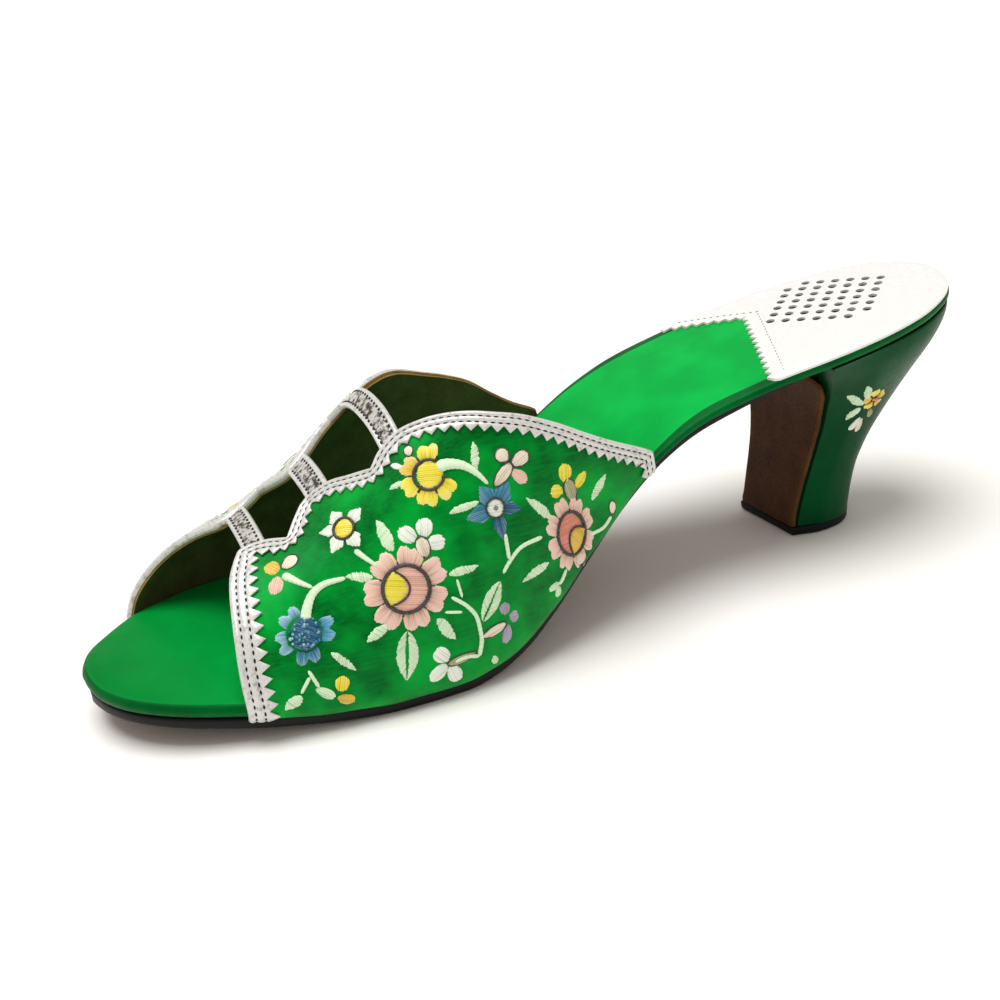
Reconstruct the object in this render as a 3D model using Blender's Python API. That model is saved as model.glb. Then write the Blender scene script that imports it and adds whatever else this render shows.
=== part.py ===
"""Open-toed mule slipper, right shoe: satin side panels joined by straps, padded insole, thin sole, curved heel.

Units are metres, +Z is up, the toe points to -Y and the inner (medial) side of the foot is +X.
The tables are in millimetres. "along" is measured from the back of the heel towards the toe.
"""
import math

import bmesh
import bpy
import numpy as np

MM = 0.001
MIDDLE = 118.65         # along-value that lies at Y = 0
OFF_AXIS = 0.85         # the ball is fuller on the inner side, so the box's middle is this far off the heel's axis
GAP = 0.3               # clearance between neighbouring pieces
UPPER_WALL = 2.0        # satin, backing and lining together
UPPER_PROUD = 0.9       # how far the panels stand outside the insole outline
FEATHER_TUCK = 1.0      # how far the panel's lower edge turns in under the foot
FEATHER_RISE = 2.6      # height over which it turns in
SECTION_POWER = 2.3     # fullness of the foot section, 2 is an ellipse
INSOLE_INSET = 2.3      # insole edge drawn in where the panels wrap it
INSET_RUN = 5.0         # length over which the insole edge comes back out
SOLE_INSET_TOE = 0.9    # outsole edge inside the insole edge at the forefoot
SOLE_INSET_WAIST = 1.8  # and at the closely trimmed waist
TOP_PIECE = 3.5         # thickness of the lift under the heel
BREAST_LEATHER = 1.5    # sole leather carried down the front of the heel
HEEL_SKEW = 0.12        # the heel is turned a little towards the outer side
SOLE_BEND = 57.0        # where the sole leather starts to bend down the breast
STATIONS = 64           # cross-sections along insole and outsole

# Outline of the shoe seen from above: half widths either side of the heel's own axis.
OUTLINE_COLUMNS = ("along", "medial", "lateral")
OUTLINE = (
    (2.6, 0.0, 0.0), (3.5, 6.0, 6.0), (6.5, 12.6, 12.2), (12.0, 18.2, 17.4), (22.0, 23.4, 21.8),
    (36.0, 26.2, 24.5), (52.0, 26.4, 25.9), (68.0, 24.6, 27.2), (84.0, 23.2, 28.3), (100.0, 25.0, 29.0),
    (115.0, 28.7, 29.9), (130.0, 33.2, 31.9), (145.0, 37.0, 34.5), (158.0, 38.5, 36.2), (172.0, 38.3, 36.8),
    (186.0, 36.9, 35.4), (200.0, 34.4, 31.4), (212.0, 30.8, 25.4), (220.6, 26.8, 18.6), (227.4, 21.6, 11.4),
    (232.0, 15.4, 5.6), (234.0, 9.4, 0.4), (234.7, 3.6, -3.6),
)

# Side profile: top of the insole, and thickness of insole and outsole.
PROFILE_COLUMNS = ("along", "top", "insole", "outsole")
PROFILE = (
    (2.6, 61.4, 3.0, 1.8), (15.0, 59.7, 3.0, 1.8), (30.0, 57.5, 3.0, 1.8), (45.0, 55.2, 3.0, 1.8),
    (60.0, 52.6, 2.8, 1.8), (72.0, 49.7, 2.6, 1.8), (84.0, 46.2, 2.6, 1.9), (95.0, 41.4, 2.7, 2.0),
    (106.0, 34.6, 3.0, 2.2), (118.0, 25.3, 3.3, 2.5), (130.0, 16.2, 3.6, 2.7), (138.0, 11.3, 3.8, 2.8),
    (146.0, 8.5, 4.0, 2.8), (154.0, 7.2, 4.1, 2.8), (170.0, 7.2, 4.1, 2.8), (180.0, 7.8, 4.1, 2.8),
    (197.0, 9.8, 4.1, 2.8), (211.0, 11.6, 4.1, 2.7), (223.0, 12.7, 4.1, 2.5), (234.7, 13.4, 4.1, 2.4),
)

# Height of the foot's ridge above the floor under the panels.
RIDGE_COLUMNS = ("along", "height")
RIDGE = (
    (85.0, 95.0), (100.0, 91.0), (115.0, 86.5), (130.0, 79.0), (140.0, 73.0), (150.0, 66.0), (160.0, 58.5),
    (170.0, 50.0), (180.0, 42.6), (190.0, 37.4), (200.0, 33.6), (210.0, 30.0), (223.0, 24.5),
)

# Panel edges. Angle is round the foot section: 0 at the sole edge, 90 on the ridge of the instep.
EDGE_COLUMNS = ("along_medial", "angle_medial", "along_lateral", "angle_lateral")
FRONT_EDGE = (
    (203.4, 0.0, 221.5, 0.0), (203.4, 20.0, 218.6, 22.0), (202.4, 39.0, 213.6, 39.0),
    (200.9, 56.0, 207.4, 54.0), (199.2, 67.5, 202.0, 67.0), (196.8, 75.5, 198.2, 75.5),
)
SCALLOPS = (
    ((196.8, 75.5, 198.2, 75.5), (194.8, 78.4, 195.2, 78.4), (189.8, 75.8, 189.8, 75.8),
     (185.2, 70.0, 185.2, 70.0)),
    ((185.2, 70.0, 185.2, 70.0), (181.8, 76.3, 181.8, 76.0), (178.4, 80.0, 178.4, 79.5),
     (173.4, 77.8, 173.4, 77.2), (169.0, 72.0, 169.0, 71.0), (164.7, 66.4, 164.7, 65.0)),
    ((164.7, 66.4, 164.7, 65.0), (161.8, 68.8, 161.8, 66.8), (157.2, 69.0, 157.2, 66.0),
     (151.7, 65.0, 151.0, 59.5), (147.4, 60.7, 146.2, 53.0), (142.7, 55.4, 141.5, 46.0),
     (137.9, 49.7, 137.0, 40.0), (131.2, 42.0, 131.0, 33.0), (124.4, 33.4, 124.6, 25.4),
     (117.2, 24.0, 118.2, 16.4), (109.0, 14.2, 112.0, 8.6), (99.6, 4.2, 106.0, 2.4)),
)
REAR_TIP = (99.0, 0.0, 105.4, 0.0)
STRAPS = ((194.8, 189.8), (178.4, 173.4), (161.8, 157.2))   # along-values of the edges of the three straps
EDGE_STEP = 2.8         # spacing of the points along the panels' top edge
PANEL_ROWS = 13
STRAP_CELLS = 6

# Heel block, level by level: its back, its breast and its half widths.
HEEL_COLUMNS = ("back_height", "back", "breast_height", "breast", "half_width", "breast_half_width")
HEEL = (
    (3.8, 32.0, 3.8, 51.7, 12.6, 10.8), (9.5, 31.2, 9.5, 50.6, 12.7, 11.1), (16.0, 29.8, 15.5, 49.3, 13.0, 11.6),
    (22.5, 27.2, 21.0, 48.1, 13.8, 12.3), (29.5, 23.4, 27.0, 47.1, 15.3, 13.3), (36.5, 18.8, 33.0, 46.5, 17.6, 14.7),
    (43.5, 13.6, 38.5, 46.4, 20.4, 16.6), (49.8, 8.6, 43.2, 47.0, 23.2, 19.2), (54.6, 5.2, 47.0, 48.4, 25.0, 22.2),
    (57.8, 3.4, 51.0, 50.0, 25.6, 25.0),
)
HEEL_LEVELS = 16

COLOURS = {
    "outsole": (0.012, 0.010, 0.009, 1.0),
    "insole": (0.000, 0.400, 0.070, 1.0),
    "heel": (0.000, 0.100, 0.024, 1.0),
    "top_piece": (0.010, 0.010, 0.010, 1.0),
    "upper": (0.000, 0.240, 0.030, 1.0),
}


def columns(rows, names):
    """Give a table's columns by name."""
    return {name: np.array([row[i] for row in rows], float) for i, name in enumerate(names)}


def smooth(x, xs, ys):
    """Cubic through the points of a table, without overshoot."""
    x = np.clip(np.asarray(x, float), xs[0], xs[-1])
    step = np.diff(xs)
    rise = np.diff(ys) / step
    slope = np.empty_like(ys)
    slope[0], slope[-1] = rise[0], rise[-1]
    both = rise[:-1] * rise[1:]
    mean = 2.0 * both / np.where(np.abs(rise[:-1] + rise[1:]) < 1e-12, 1.0, rise[:-1] + rise[1:])
    slope[1:-1] = np.where(both > 0.0, mean, 0.0)
    i = np.clip(np.searchsorted(xs, x, side="right") - 1, 0, len(step) - 1)
    t = (x - xs[i]) / step[i]
    start = (1.0 + 2.0 * t) * (1.0 - t) ** 2 * ys[i] + t * t * (3.0 - 2.0 * t) * ys[i + 1]
    return start + step[i] * (t * (1.0 - t) ** 2 * slope[i] - t * t * (1.0 - t) * slope[i + 1])


def spline(points, per_span):
    """Round a list of points into a dense curve that passes through each of them."""
    p = np.array(points, float)
    before = np.vstack((2.0 * p[0] - p[1], p[:-1]))
    after = np.vstack((p[1:], 2.0 * p[-1] - p[-2]))
    tangent = 0.5 * (after - before)
    t = np.linspace(0.0, 1.0, per_span, endpoint=False)[:, None]
    curve = [(1.0 + 2.0 * t) * (1.0 - t) ** 2 * p[i] + t * t * (3.0 - 2.0 * t) * p[i + 1]
             + t * (1.0 - t) ** 2 * tangent[i] - t * t * (1.0 - t) * tangent[i + 1] for i in range(len(p) - 1)]
    return np.vstack(curve + [p[-1:]])


OUT = columns(OUTLINE, OUTLINE_COLUMNS)
PRO = columns(PROFILE, PROFILE_COLUMNS)
RDG = columns(RIDGE, RIDGE_COLUMNS)
SIDES = {side: spline(np.column_stack((OUT["along"], OUT[side])), 24) for side in ("medial", "lateral")}
HEEL_END, TOE_END = OUT["along"][0], OUT["along"][-1]


def half_width(along, side, inset=0.0):
    """Half width of the shoe's outline on one side, the inset measured square to the outline."""
    curve = SIDES[side]
    slope = np.interp(along, curve[:, 0], np.gradient(curve[:, 1], curve[:, 0] + np.arange(len(curve)) * 1e-9))
    return np.interp(along, curve[:, 0], curve[:, 1]) - inset * np.minimum(np.hypot(1.0, slope), 2.5)


def insole_top(along):
    return smooth(along, PRO["along"], PRO["top"])


def insole_bottom(along):
    return insole_top(along) - smooth(along, PRO["along"], PRO["insole"])


def sole_top(along):
    return insole_bottom(along) - GAP


def sole_bottom(along):
    return np.maximum(sole_top(along) - smooth(along, PRO["along"], PRO["outsole"]), 0.0)


def place(along, across, height):
    """Millimetres along, across and up to a point in metres."""
    return ((float(across) - OFF_AXIS) * MM, (MIDDLE - float(along)) * MM, float(height) * MM)


def blend(x, start, end):
    """Soft step from 0 at start to 1 at end."""
    t = np.clip((x - start) / (end - start), 0.0, 1.0)
    return t * t * (3.0 - 2.0 * t)


def add_object(name, verts, faces):
    """One closed, outward-facing body with one material."""
    mesh = bpy.data.meshes.new(name)
    mesh.from_pydata(verts, [], faces)
    body = bmesh.new()
    body.from_mesh(mesh)
    bmesh.ops.remove_doubles(body, verts=body.verts, dist=0.00002)
    bmesh.ops.recalc_face_normals(body, faces=body.faces)
    body.to_mesh(mesh)
    body.free()
    material = bpy.data.materials.new(name)
    material.use_nodes = True
    material.node_tree.nodes["Principled BSDF"].inputs["Base Color"].default_value = COLOURS[name]
    mesh.materials.append(material)
    node = bpy.data.objects.new(name, mesh)
    bpy.context.scene.collection.objects.link(node)
    return node


def loft(rings):
    """Skin a row of rings with the same number of points and close both ends."""
    count = len(rings[0])
    verts = [point for ring in rings for point in ring]
    faces = []
    for k in range(len(rings) - 1):
        for i in range(count):
            j = (i + 1) % count
            faces.append((k * count + i, k * count + j, (k + 1) * count + j, (k + 1) * count + i))
    last = (len(rings) - 1) * count
    faces.append(tuple(range(count - 1, -1, -1)))
    faces.append(tuple(last + i for i in range(count)))
    return verts, faces


def stations():
    """Along-values of the cross-sections of insole and outsole, crowded together towards both ends."""
    u = np.linspace(0.0, 1.0, STATIONS)
    return HEEL_END + (TOE_END - HEEL_END) * 0.5 * (1.0 - np.cos(math.pi * u))


def covered(along, side):
    """1 where the panels wrap the insole, 0 at the open toe and heel."""
    front, rear = FRONT_EDGE[0], REAR_TIP
    i = 0 if side == "medial" else 2
    at_front = 1.0 - blend(along, front[i] + 0.6, front[i] + 0.6 + INSET_RUN)
    return at_front * blend(along, rear[i] - 1.0 - INSET_RUN, rear[i] - 1.0)


def make_insole():
    """Padded insole: rounded rim, drawn in where the panels come down over it."""
    rings = []
    for s in stations():
        medial = float(half_width(s, "medial", INSOLE_INSET * covered(s, "medial")))
        lateral = float(half_width(s, "lateral", INSOLE_INSET * covered(s, "lateral")))
        centre, half = 0.5 * (medial - lateral), max(0.5 * (medial + lateral), 0.4)
        top, bottom = float(insole_top(s)), float(insole_bottom(s))
        nearness = min(s - HEEL_END, TOE_END - s)
        ease = math.sqrt(max(0.0, 1.0 - (1.0 - min(nearness / 1.6, 1.0)) ** 2))
        middle = 0.5 * (top + bottom)
        top = middle + (top - middle) * (0.45 + 0.55 * ease)
        bottom = middle - (middle - bottom) * (0.6 + 0.4 * ease)
        radius = min(0.5 * (top - bottom), 0.45 * half)
        rim = [(half - 0.6 * radius, bottom), (half, bottom + 0.7 * radius), (half, top - radius),
               (half - 0.3 * radius, top - 0.3 * radius), (half - radius, top), (0.5 * half, top)]
        section = rim + [(0.0, top)] + [(-w, z) for w, z in reversed(rim)]
        rings.append([place(s, centre + w, z) for w, z in section])
    return add_object("insole", *loft(rings))


def breast_line():
    """Front of the heel block from the top piece up into the corner under the insole."""
    heel = columns(HEEL, HEEL_COLUMNS)
    return np.column_stack((heel["breast"], heel["breast_height"]))


def skewed(along, across, height):
    """Turn of the heel, fading out towards the seat."""
    return along - HEEL_SKEW * across * (1.0 - blend(height, 28.0, 48.0))


def make_outsole():
    """Outsole from the toe to the heel, then carried down the heel's breast as a leather facing."""
    along = [s for s in stations()[::-1] if SOLE_BEND < s < TOE_END - SOLE_INSET_TOE]
    inner = [(s, float(sole_top(s))) for s in along]
    bend = [(54.6, float(sole_top(56.0)) - 0.2), (51.8, float(sole_top(56.0)) - 1.2), (50.0, 46.4)]
    line = breast_line()
    face = [(b + GAP, h) for b, h in line[::-1] if h < 44.0]
    corner = spline([inner[-2], inner[-1]] + bend + face[:2], 4)[4:-4]
    path = np.array(inner[:-1] + [tuple(p) for p in corner] + face)
    tangent = np.gradient(path, axis=0)
    tangent /= np.linalg.norm(tangent, axis=1)[:, None]
    under = np.column_stack((-tangent[:, 1], tangent[:, 0]))
    heel = columns(HEEL, HEEL_COLUMNS)
    rings = []
    for (s, z), n in zip(path, under):
        if s > SOLE_BEND:
            thick = float(sole_top(s) - sole_bottom(s))
            inset = SOLE_INSET_TOE + (SOLE_INSET_WAIST - SOLE_INSET_TOE) * (1.0 - float(blend(s, 110.0, 150.0)))
            inset += SOLE_INSET_WAIST * (1.0 - float(blend(s, SOLE_BEND, 82.0)))
            medial, lateral = float(half_width(s, "medial", inset)), float(half_width(s, "lateral", inset))
            n = np.array((0.0, -1.0))
        else:
            thick = BREAST_LEATHER
            face_half = np.interp(z, heel["breast_height"], heel["breast_half_width"])
            medial = lateral = min(float(face_half) - 0.2, 21.0)
        centre, half = 0.5 * (medial - lateral), max(0.5 * (medial + lateral), 0.4)
        nib = 0.25 * thick
        ring = []
        for w, depth in ((half - nib, 0.0), (half, nib), (half, thick - nib), (half - nib, thick), (0.0, thick),
                         (nib - half, thick), (-half, thick - nib), (-half, nib), (nib - half, 0.0), (0.0, 0.0)):
            a, h = s + n[0] * depth, z + n[1] * depth
            ring.append(place(skewed(a, w, h) if s < SOLE_BEND else a, centre + w, h))
        rings.append(ring)
    return add_object("outsole", *loft(rings))


def heel_ring(back, breast, half, breast_half, share):
    """Across and along values round one level of the heel, from the breast round the back to the breast."""
    ring = []
    for u in 1.0 - np.sin(np.linspace(0.0, 0.5 * math.pi, 13)):
        s = back + (breast - back) * u
        full = (1.0 - max(0.0, 1.0 - u / 0.7) ** 2.4) ** (1.0 / 2.4)
        width = half * full + (breast_half - half) * max(0.0, (u - 0.7) / 0.3)
        seat = {side: float(half_width(s, side, 0.5)) for side in ("medial", "lateral")}
        ring.append((s, width * (1.0 - share) + seat["medial"] * share, width * (1.0 - share) + seat["lateral"] * share))
    medial = [(s, max(m, 0.0)) for s, m, _ in ring]
    lateral = [(s, -max(l, 0.0)) for s, _, l in reversed(ring[:-1])]
    front = [(lateral[-1][0], lateral[-1][1] * k) for k in (0.5, 0.0, -0.5)]
    return medial + lateral + front


def make_heel():
    """Curved heel block: narrow at the floor, flaring to the seat, hollowed at the back and the breast."""
    table = columns(HEEL, HEEL_COLUMNS)
    level = np.linspace(0.0, 1.0, len(HEEL))
    rings = []
    for v in np.linspace(0.0, 1.0, HEEL_LEVELS):
        row = {name: float(smooth(v, level, table[name])) for name in HEEL_COLUMNS}
        ring = []
        for s, w in heel_ring(row["back"], row["breast"], row["half_width"], row["breast_half_width"], v ** 6):
            u = (s - row["back"]) / (row["breast"] - row["back"])
            z = row["back_height"] + (row["breast_height"] - row["back_height"]) * u
            z += (float(insole_bottom(s)) - GAP - z) * v ** 10
            ring.append(place(skewed(s, w, z), w, z))
        rings.append(ring)
    return add_object("heel", *loft(rings))


def make_top_piece():
    """Lift under the heel block, also under the breast leather."""
    table = columns(HEEL, HEEL_COLUMNS)
    breast = table["breast"][0] + GAP + BREAST_LEATHER
    rings = []
    for z, grow in ((0.0, -0.4), (0.5, 0.1), (TOP_PIECE, 0.2)):
        ring = heel_ring(table["back"][0] - grow, breast + grow, table["half_width"][0] + grow,
                         table["breast_half_width"][0] + grow, 0.0)
        rings.append([place(skewed(s, w, z), w, z) for s, w in ring])
    return add_object("top_piece", *loft(rings))


def section_point(along, angle, side):
    """Point on the outside of the panels: along the foot, and round its section from the sole edge."""
    turn = math.radians(angle)
    base = float(sole_top(along)) + GAP
    rise = (float(smooth(along, RDG["along"], RDG["height"])) - base) * math.sin(turn) ** (2.0 / SECTION_POWER)
    across = float(half_width(along, side, -UPPER_PROUD)) * math.cos(turn) ** (2.0 / SECTION_POWER)
    across -= FEATHER_TUCK * max(0.0, 1.0 - rise / FEATHER_RISE) ** 2
    return place(along, across if side == "medial" else -across, base + rise)


def top_edge(side):
    """Along and angle of the points of the scalloped edge, front corner to rear tip."""
    pick = (0, 1) if side == "medial" else (2, 3)
    edge = []
    for scallop in SCALLOPS:
        marks = np.array([(row[pick[0]], row[pick[1]]) for row in scallop])
        dense = spline(marks, 24)
        for a, b in zip(scallop[:-1], scallop[1:]):
            cells = max(1, round(abs(a[0] - b[0]) / EDGE_STEP))
            i, j = 24 * scallop.index(a), 24 * scallop.index(b)
            edge += [tuple(dense[round(i + (j - i) * k / cells)]) for k in range(cells)]
    last = SCALLOPS[-1][-1]
    return edge + [(last[pick[0]], last[pick[1]])]


def panel_grid(side):
    """Along and angle of every point of one panel, blended between its four edges."""
    pick = (0, 1) if side == "medial" else (2, 3)
    front = np.array([(row[pick[0]], row[pick[1]]) for row in FRONT_EDGE])
    tip = (REAR_TIP[pick[0]], REAR_TIP[pick[1]])
    top = top_edge(side)
    share = np.linspace(0.0, 1.0, PANEL_ROWS) ** 1.15
    left = spline(front, 16)
    reach = np.concatenate(([0.0], np.cumsum(np.hypot(np.diff(left[:, 0]), np.diff(left[:, 1])))))
    grid = []
    for along, angle in top:
        t = (top[0][0] - along) / (top[0][0] - top[-1][0])
        foot = front[0][0] + (tip[0] - front[0][0]) * t
        column = []
        for r in share:
            edge = [float(np.interp(r * reach[-1], reach, left[:, k])) for k in (0, 1)]
            straight = (front[0][0] + (top[0][0] - front[0][0]) * r, top[0][1] * r)
            fade = (1.0 - t) ** 3
            column.append((foot + (along - foot) * r + (edge[0] - straight[0]) * fade,
                           angle * r + (edge[1] - straight[1]) * fade))
        grid.append(column)
    return grid


def make_upper():
    """Both panels and the three straps as one lined shell with a real wall."""
    verts, faces, rim = [], [], {}
    for side in ("medial", "lateral"):
        grid = panel_grid(side)
        start = len(verts)
        verts += [section_point(s, max(a, 0.0), side) for column in grid for s, a in column]
        for i in range(len(grid) - 1):
            for r in range(PANEL_ROWS - 1):
                k = start + i * PANEL_ROWS + r
                faces.append((k, k + PANEL_ROWS, k + PANEL_ROWS + 1, k + 1))
        rim[side] = [(start + i * PANEL_ROWS + PANEL_ROWS - 1, *grid[i][-1]) for i in range(len(grid))]
    for front, rear in STRAPS:
        inside = [i for i, (_, s, _) in enumerate(rim["medial"]) if rear - 0.7 < s < front + 0.7]
        rows = []
        for i in inside:
            (near, s_near, a_near), (far, s_far, a_far) = rim["medial"][i], rim["lateral"][i]
            row = [near]
            for k in range(1, STRAP_CELLS):
                t = k / STRAP_CELLS
                s, a = s_near + (s_far - s_near) * t, a_near + (180.0 - a_far - a_near) * t
                row.append(len(verts))
                verts.append(section_point(s, min(a, 180.0 - a), "medial" if a < 90.0 else "lateral"))
            rows.append(row + [far])
        for upper_row, lower_row in zip(rows[:-1], rows[1:]):
            for k in range(STRAP_CELLS):
                faces.append((upper_row[k], lower_row[k], lower_row[k + 1], upper_row[k + 1]))
    node = add_object("upper", verts, faces)
    wall = node.modifiers.new("wall", "SOLIDIFY")
    wall.thickness = UPPER_WALL * MM
    wall.offset = -1.0
    wall.use_even_offset = True
    wall.use_rim = True
    return node


def main():
    for old in list(bpy.data.objects):
        bpy.data.objects.remove(old, do_unlink=True)
    make_outsole()
    make_insole()
    make_heel()
    make_top_piece()
    make_upper()


main()
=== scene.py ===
"""Looks of an open-toed mule slipper in embroidered green satin, a right shoe, around its solid model.

The file is laid out as a Blender add-on and is run as a script. The tables are in millimetres. "along"
runs from the back of the heel towards the toe. "angle" goes round the foot's section: 0 at the inner sole
edge, 90 on the ridge of the instep, 180 at the outer sole edge.
"""
import math

import bmesh
import bpy
import numpy as np
from mathutils import Matrix, Vector
from mathutils.geometry import delaunay_2d_cdt


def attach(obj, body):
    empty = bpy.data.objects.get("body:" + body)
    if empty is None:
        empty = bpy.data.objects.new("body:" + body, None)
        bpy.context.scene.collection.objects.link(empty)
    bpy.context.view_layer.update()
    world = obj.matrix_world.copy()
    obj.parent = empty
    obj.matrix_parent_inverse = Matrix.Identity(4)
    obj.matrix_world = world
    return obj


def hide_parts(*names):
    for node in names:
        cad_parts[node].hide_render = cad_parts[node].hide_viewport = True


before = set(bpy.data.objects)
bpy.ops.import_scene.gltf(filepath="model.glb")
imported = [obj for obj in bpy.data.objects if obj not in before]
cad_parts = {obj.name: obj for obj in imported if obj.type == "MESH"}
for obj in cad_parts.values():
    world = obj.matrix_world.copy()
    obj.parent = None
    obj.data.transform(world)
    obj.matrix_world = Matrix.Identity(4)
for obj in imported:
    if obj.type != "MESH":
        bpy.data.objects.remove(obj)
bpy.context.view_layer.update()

bl_info = {
    "name": "Satin mule slipper",
    "version": (1, 0, 0),
    "blender": (4, 5, 0),
    "location": "3D View > Sidebar > Slipper",
    "description": "Builds the looks of an embroidered open-toed mule slipper around its solid model",
    "category": "Object",
}

MM = 0.001
MIDDLE = 118.65          # along-value that lies at Y = 0
OFF_AXIS = 0.85          # the box's middle is this far off the heel's axis
GAP = 0.3                # clearance between neighbouring solids
UPPER_PROUD = 0.9        # how far the panels stand outside the insole outline
FEATHER_TUCK = 1.0       # how far a panel's lower edge turns in under the foot
FEATHER_RISE = 2.6       # height over which it turns in
SECTION_POWER = 2.3      # fullness of the foot section, 2 is an ellipse
INSOLE_INSET = 0.95      # insole edge pressed in by the panels' lining
INSET_RUN = 11.0         # length over which the insole edge comes back out
SOLE_INSET_TOE = 0.9     # outsole edge inside the insole edge at the forefoot
SOLE_INSET_WAIST = 1.8   # and at the closely trimmed waist
LIFT_SHOWN = 2.5         # height of the lift under the heel that shows below the cover
BREAST_LEATHER = 1.5     # sole leather carried down the front of the heel
HEEL_SKEW = 0.12         # the heel is turned a little towards the outer side
SOLE_BEND = 57.0         # where the sole leather starts to bend down the breast
WAIST_RUN = (110.0, 150.0)   # over this run the sole's edge comes out from waist to forefoot
BREAST_TOP = 43.3        # height where the breast's straight face ends and the bend begins
BREAST_SIDE = 17.0       # widest half width of the breast leather
SEAM_CLOSE = 0.2         # the sole is drawn up by this much against the insole
HEM_RISE = 0.1           # heel cover and breast leather end this far above the lift
CROWN = 0.25             # dome of the padded insole, lost towards its rim
PAINTED_RIM_SHADE_END = 112.0     # behind this along-value the insole's shoulder also gets the rim's painted shade
SOCK_LIFT = 0.12         # underside of the heel sock above the insole
SOCK_INSET = 0.35        # edge of the sock inside the insole's outline
SOCK_TOOTH = 1.5         # depth of the sock's pinked teeth
SOCK_BACK, SOCK_TURN = 2.9, 14.0   # its back end, and where its sides start to round

OUTLINE_COLUMNS = ("along", "medial", "lateral")
OUTLINE = (
    (2.6, 0.0, 0.0), (3.5, 6.0, 6.0), (6.5, 12.6, 12.2), (12.0, 18.2, 17.4), (22.0, 23.4, 21.8),
    (36.0, 26.2, 24.5), (52.0, 26.4, 25.9), (68.0, 24.6, 27.2), (84.0, 23.2, 28.3), (100.0, 25.0, 29.0),
    (115.0, 28.7, 29.9), (130.0, 33.2, 31.9), (145.0, 37.0, 34.5), (158.0, 38.5, 36.2), (172.0, 38.3, 36.8),
    (186.0, 36.9, 35.4), (200.0, 34.4, 31.4), (212.0, 30.8, 25.4), (220.6, 26.8, 18.6), (227.4, 21.6, 11.4),
    (232.0, 15.4, 5.6), (234.0, 9.4, 0.4), (234.7, 3.6, -3.6),
)
PROFILE_COLUMNS = ("along", "top", "insole", "outsole")
PROFILE = (
    (2.6, 61.4, 3.0, 1.8), (15.0, 59.7, 3.0, 1.8), (30.0, 57.5, 3.0, 1.8), (45.0, 55.2, 3.0, 1.8),
    (60.0, 52.6, 2.8, 1.8), (72.0, 49.7, 2.6, 1.8), (84.0, 46.2, 2.6, 1.9), (95.0, 41.4, 2.7, 2.0),
    (106.0, 34.6, 3.0, 2.2), (118.0, 25.3, 3.3, 2.5), (130.0, 16.2, 3.6, 2.7), (138.0, 11.3, 3.8, 2.8),
    (146.0, 8.5, 4.0, 2.8), (154.0, 7.2, 4.1, 2.8), (170.0, 7.2, 4.1, 2.8), (180.0, 7.8, 4.1, 2.8),
    (197.0, 9.8, 4.1, 2.8), (211.0, 11.6, 4.1, 2.7), (223.0, 12.7, 4.1, 2.5), (234.7, 13.4, 4.1, 2.4),
)
RIDGE_COLUMNS = ("along", "height")
RIDGE = (
    (85.0, 95.0), (100.0, 91.0), (115.0, 86.5), (130.0, 79.0), (140.0, 73.0), (150.0, 66.0), (160.0, 58.5),
    (170.0, 50.0), (180.0, 42.6), (190.0, 37.4), (200.0, 33.6), (210.0, 30.0), (223.0, 24.5),
)
# Panel edges: along and angle on the inner side, then on the outer side, each from its own sole edge.
FRONT_EDGE = (
    (203.4, 0.0, 221.5, 0.0), (203.4, 20.0, 218.6, 22.0), (202.4, 39.0, 213.6, 39.0),
    (200.9, 56.0, 207.4, 54.0), (199.2, 67.5, 202.0, 67.0), (196.8, 75.5, 198.2, 75.5),
)
SCALLOPS = (
    ((196.8, 75.5, 198.2, 75.5), (194.8, 78.4, 195.2, 78.4), (189.8, 75.8, 189.8, 75.8),
     (185.2, 70.0, 185.2, 70.0)),
    ((185.2, 70.0, 185.2, 70.0), (181.8, 76.3, 181.8, 76.0), (178.4, 80.0, 178.4, 79.5),
     (173.4, 77.8, 173.4, 77.2), (169.0, 72.0, 169.0, 71.0), (164.7, 66.4, 164.7, 65.0)),
    ((164.7, 66.4, 164.7, 65.0), (161.8, 68.8, 161.8, 66.8), (157.2, 69.0, 157.2, 66.0),
     (151.7, 65.0, 151.0, 59.5), (147.4, 60.7, 146.2, 53.0), (142.7, 55.4, 141.5, 46.0),
     (137.9, 49.7, 137.0, 40.0), (131.2, 42.0, 131.0, 33.0), (124.4, 33.4, 124.6, 25.4),
     (117.2, 24.0, 118.2, 16.4), (109.0, 14.2, 112.0, 8.6), (99.6, 4.2, 106.0, 2.4)),
)
REAR_TIP = (99.0, 0.0, 105.4, 0.0)
STRAPS = ((194.8, 189.8), (178.4, 173.4), (161.8, 157.2))
HEEL_COLUMNS = ("back_height", "back", "breast_height", "breast", "half_width", "breast_half_width")
HEEL = (
    (3.8, 32.0, 3.8, 51.7, 12.6, 10.8), (9.5, 31.2, 9.5, 50.6, 12.7, 11.1),
    (16.0, 29.8, 15.5, 49.3, 13.0, 11.6), (22.5, 27.2, 21.0, 48.1, 13.8, 12.3),
    (29.5, 23.4, 27.0, 47.1, 15.3, 13.3), (36.5, 18.8, 33.0, 46.5, 17.6, 14.7),
    (43.5, 13.6, 38.5, 46.4, 20.4, 16.6), (49.8, 8.6, 43.2, 47.0, 23.2, 19.2),
    (54.6, 5.2, 47.0, 48.4, 25.0, 22.2), (57.8, 3.4, 51.0, 50.0, 25.6, 25.0),
)

# Rounding of the lift: height, and size of its outline there.
LIFT_PROFILE = (
    (0.0, 0.945), (0.08, 0.965), (0.3, 0.988), (0.7, 1.0), (2.1, 1.008), (2.35, 1.003), (LIFT_SHOWN, 0.99),
)
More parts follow.
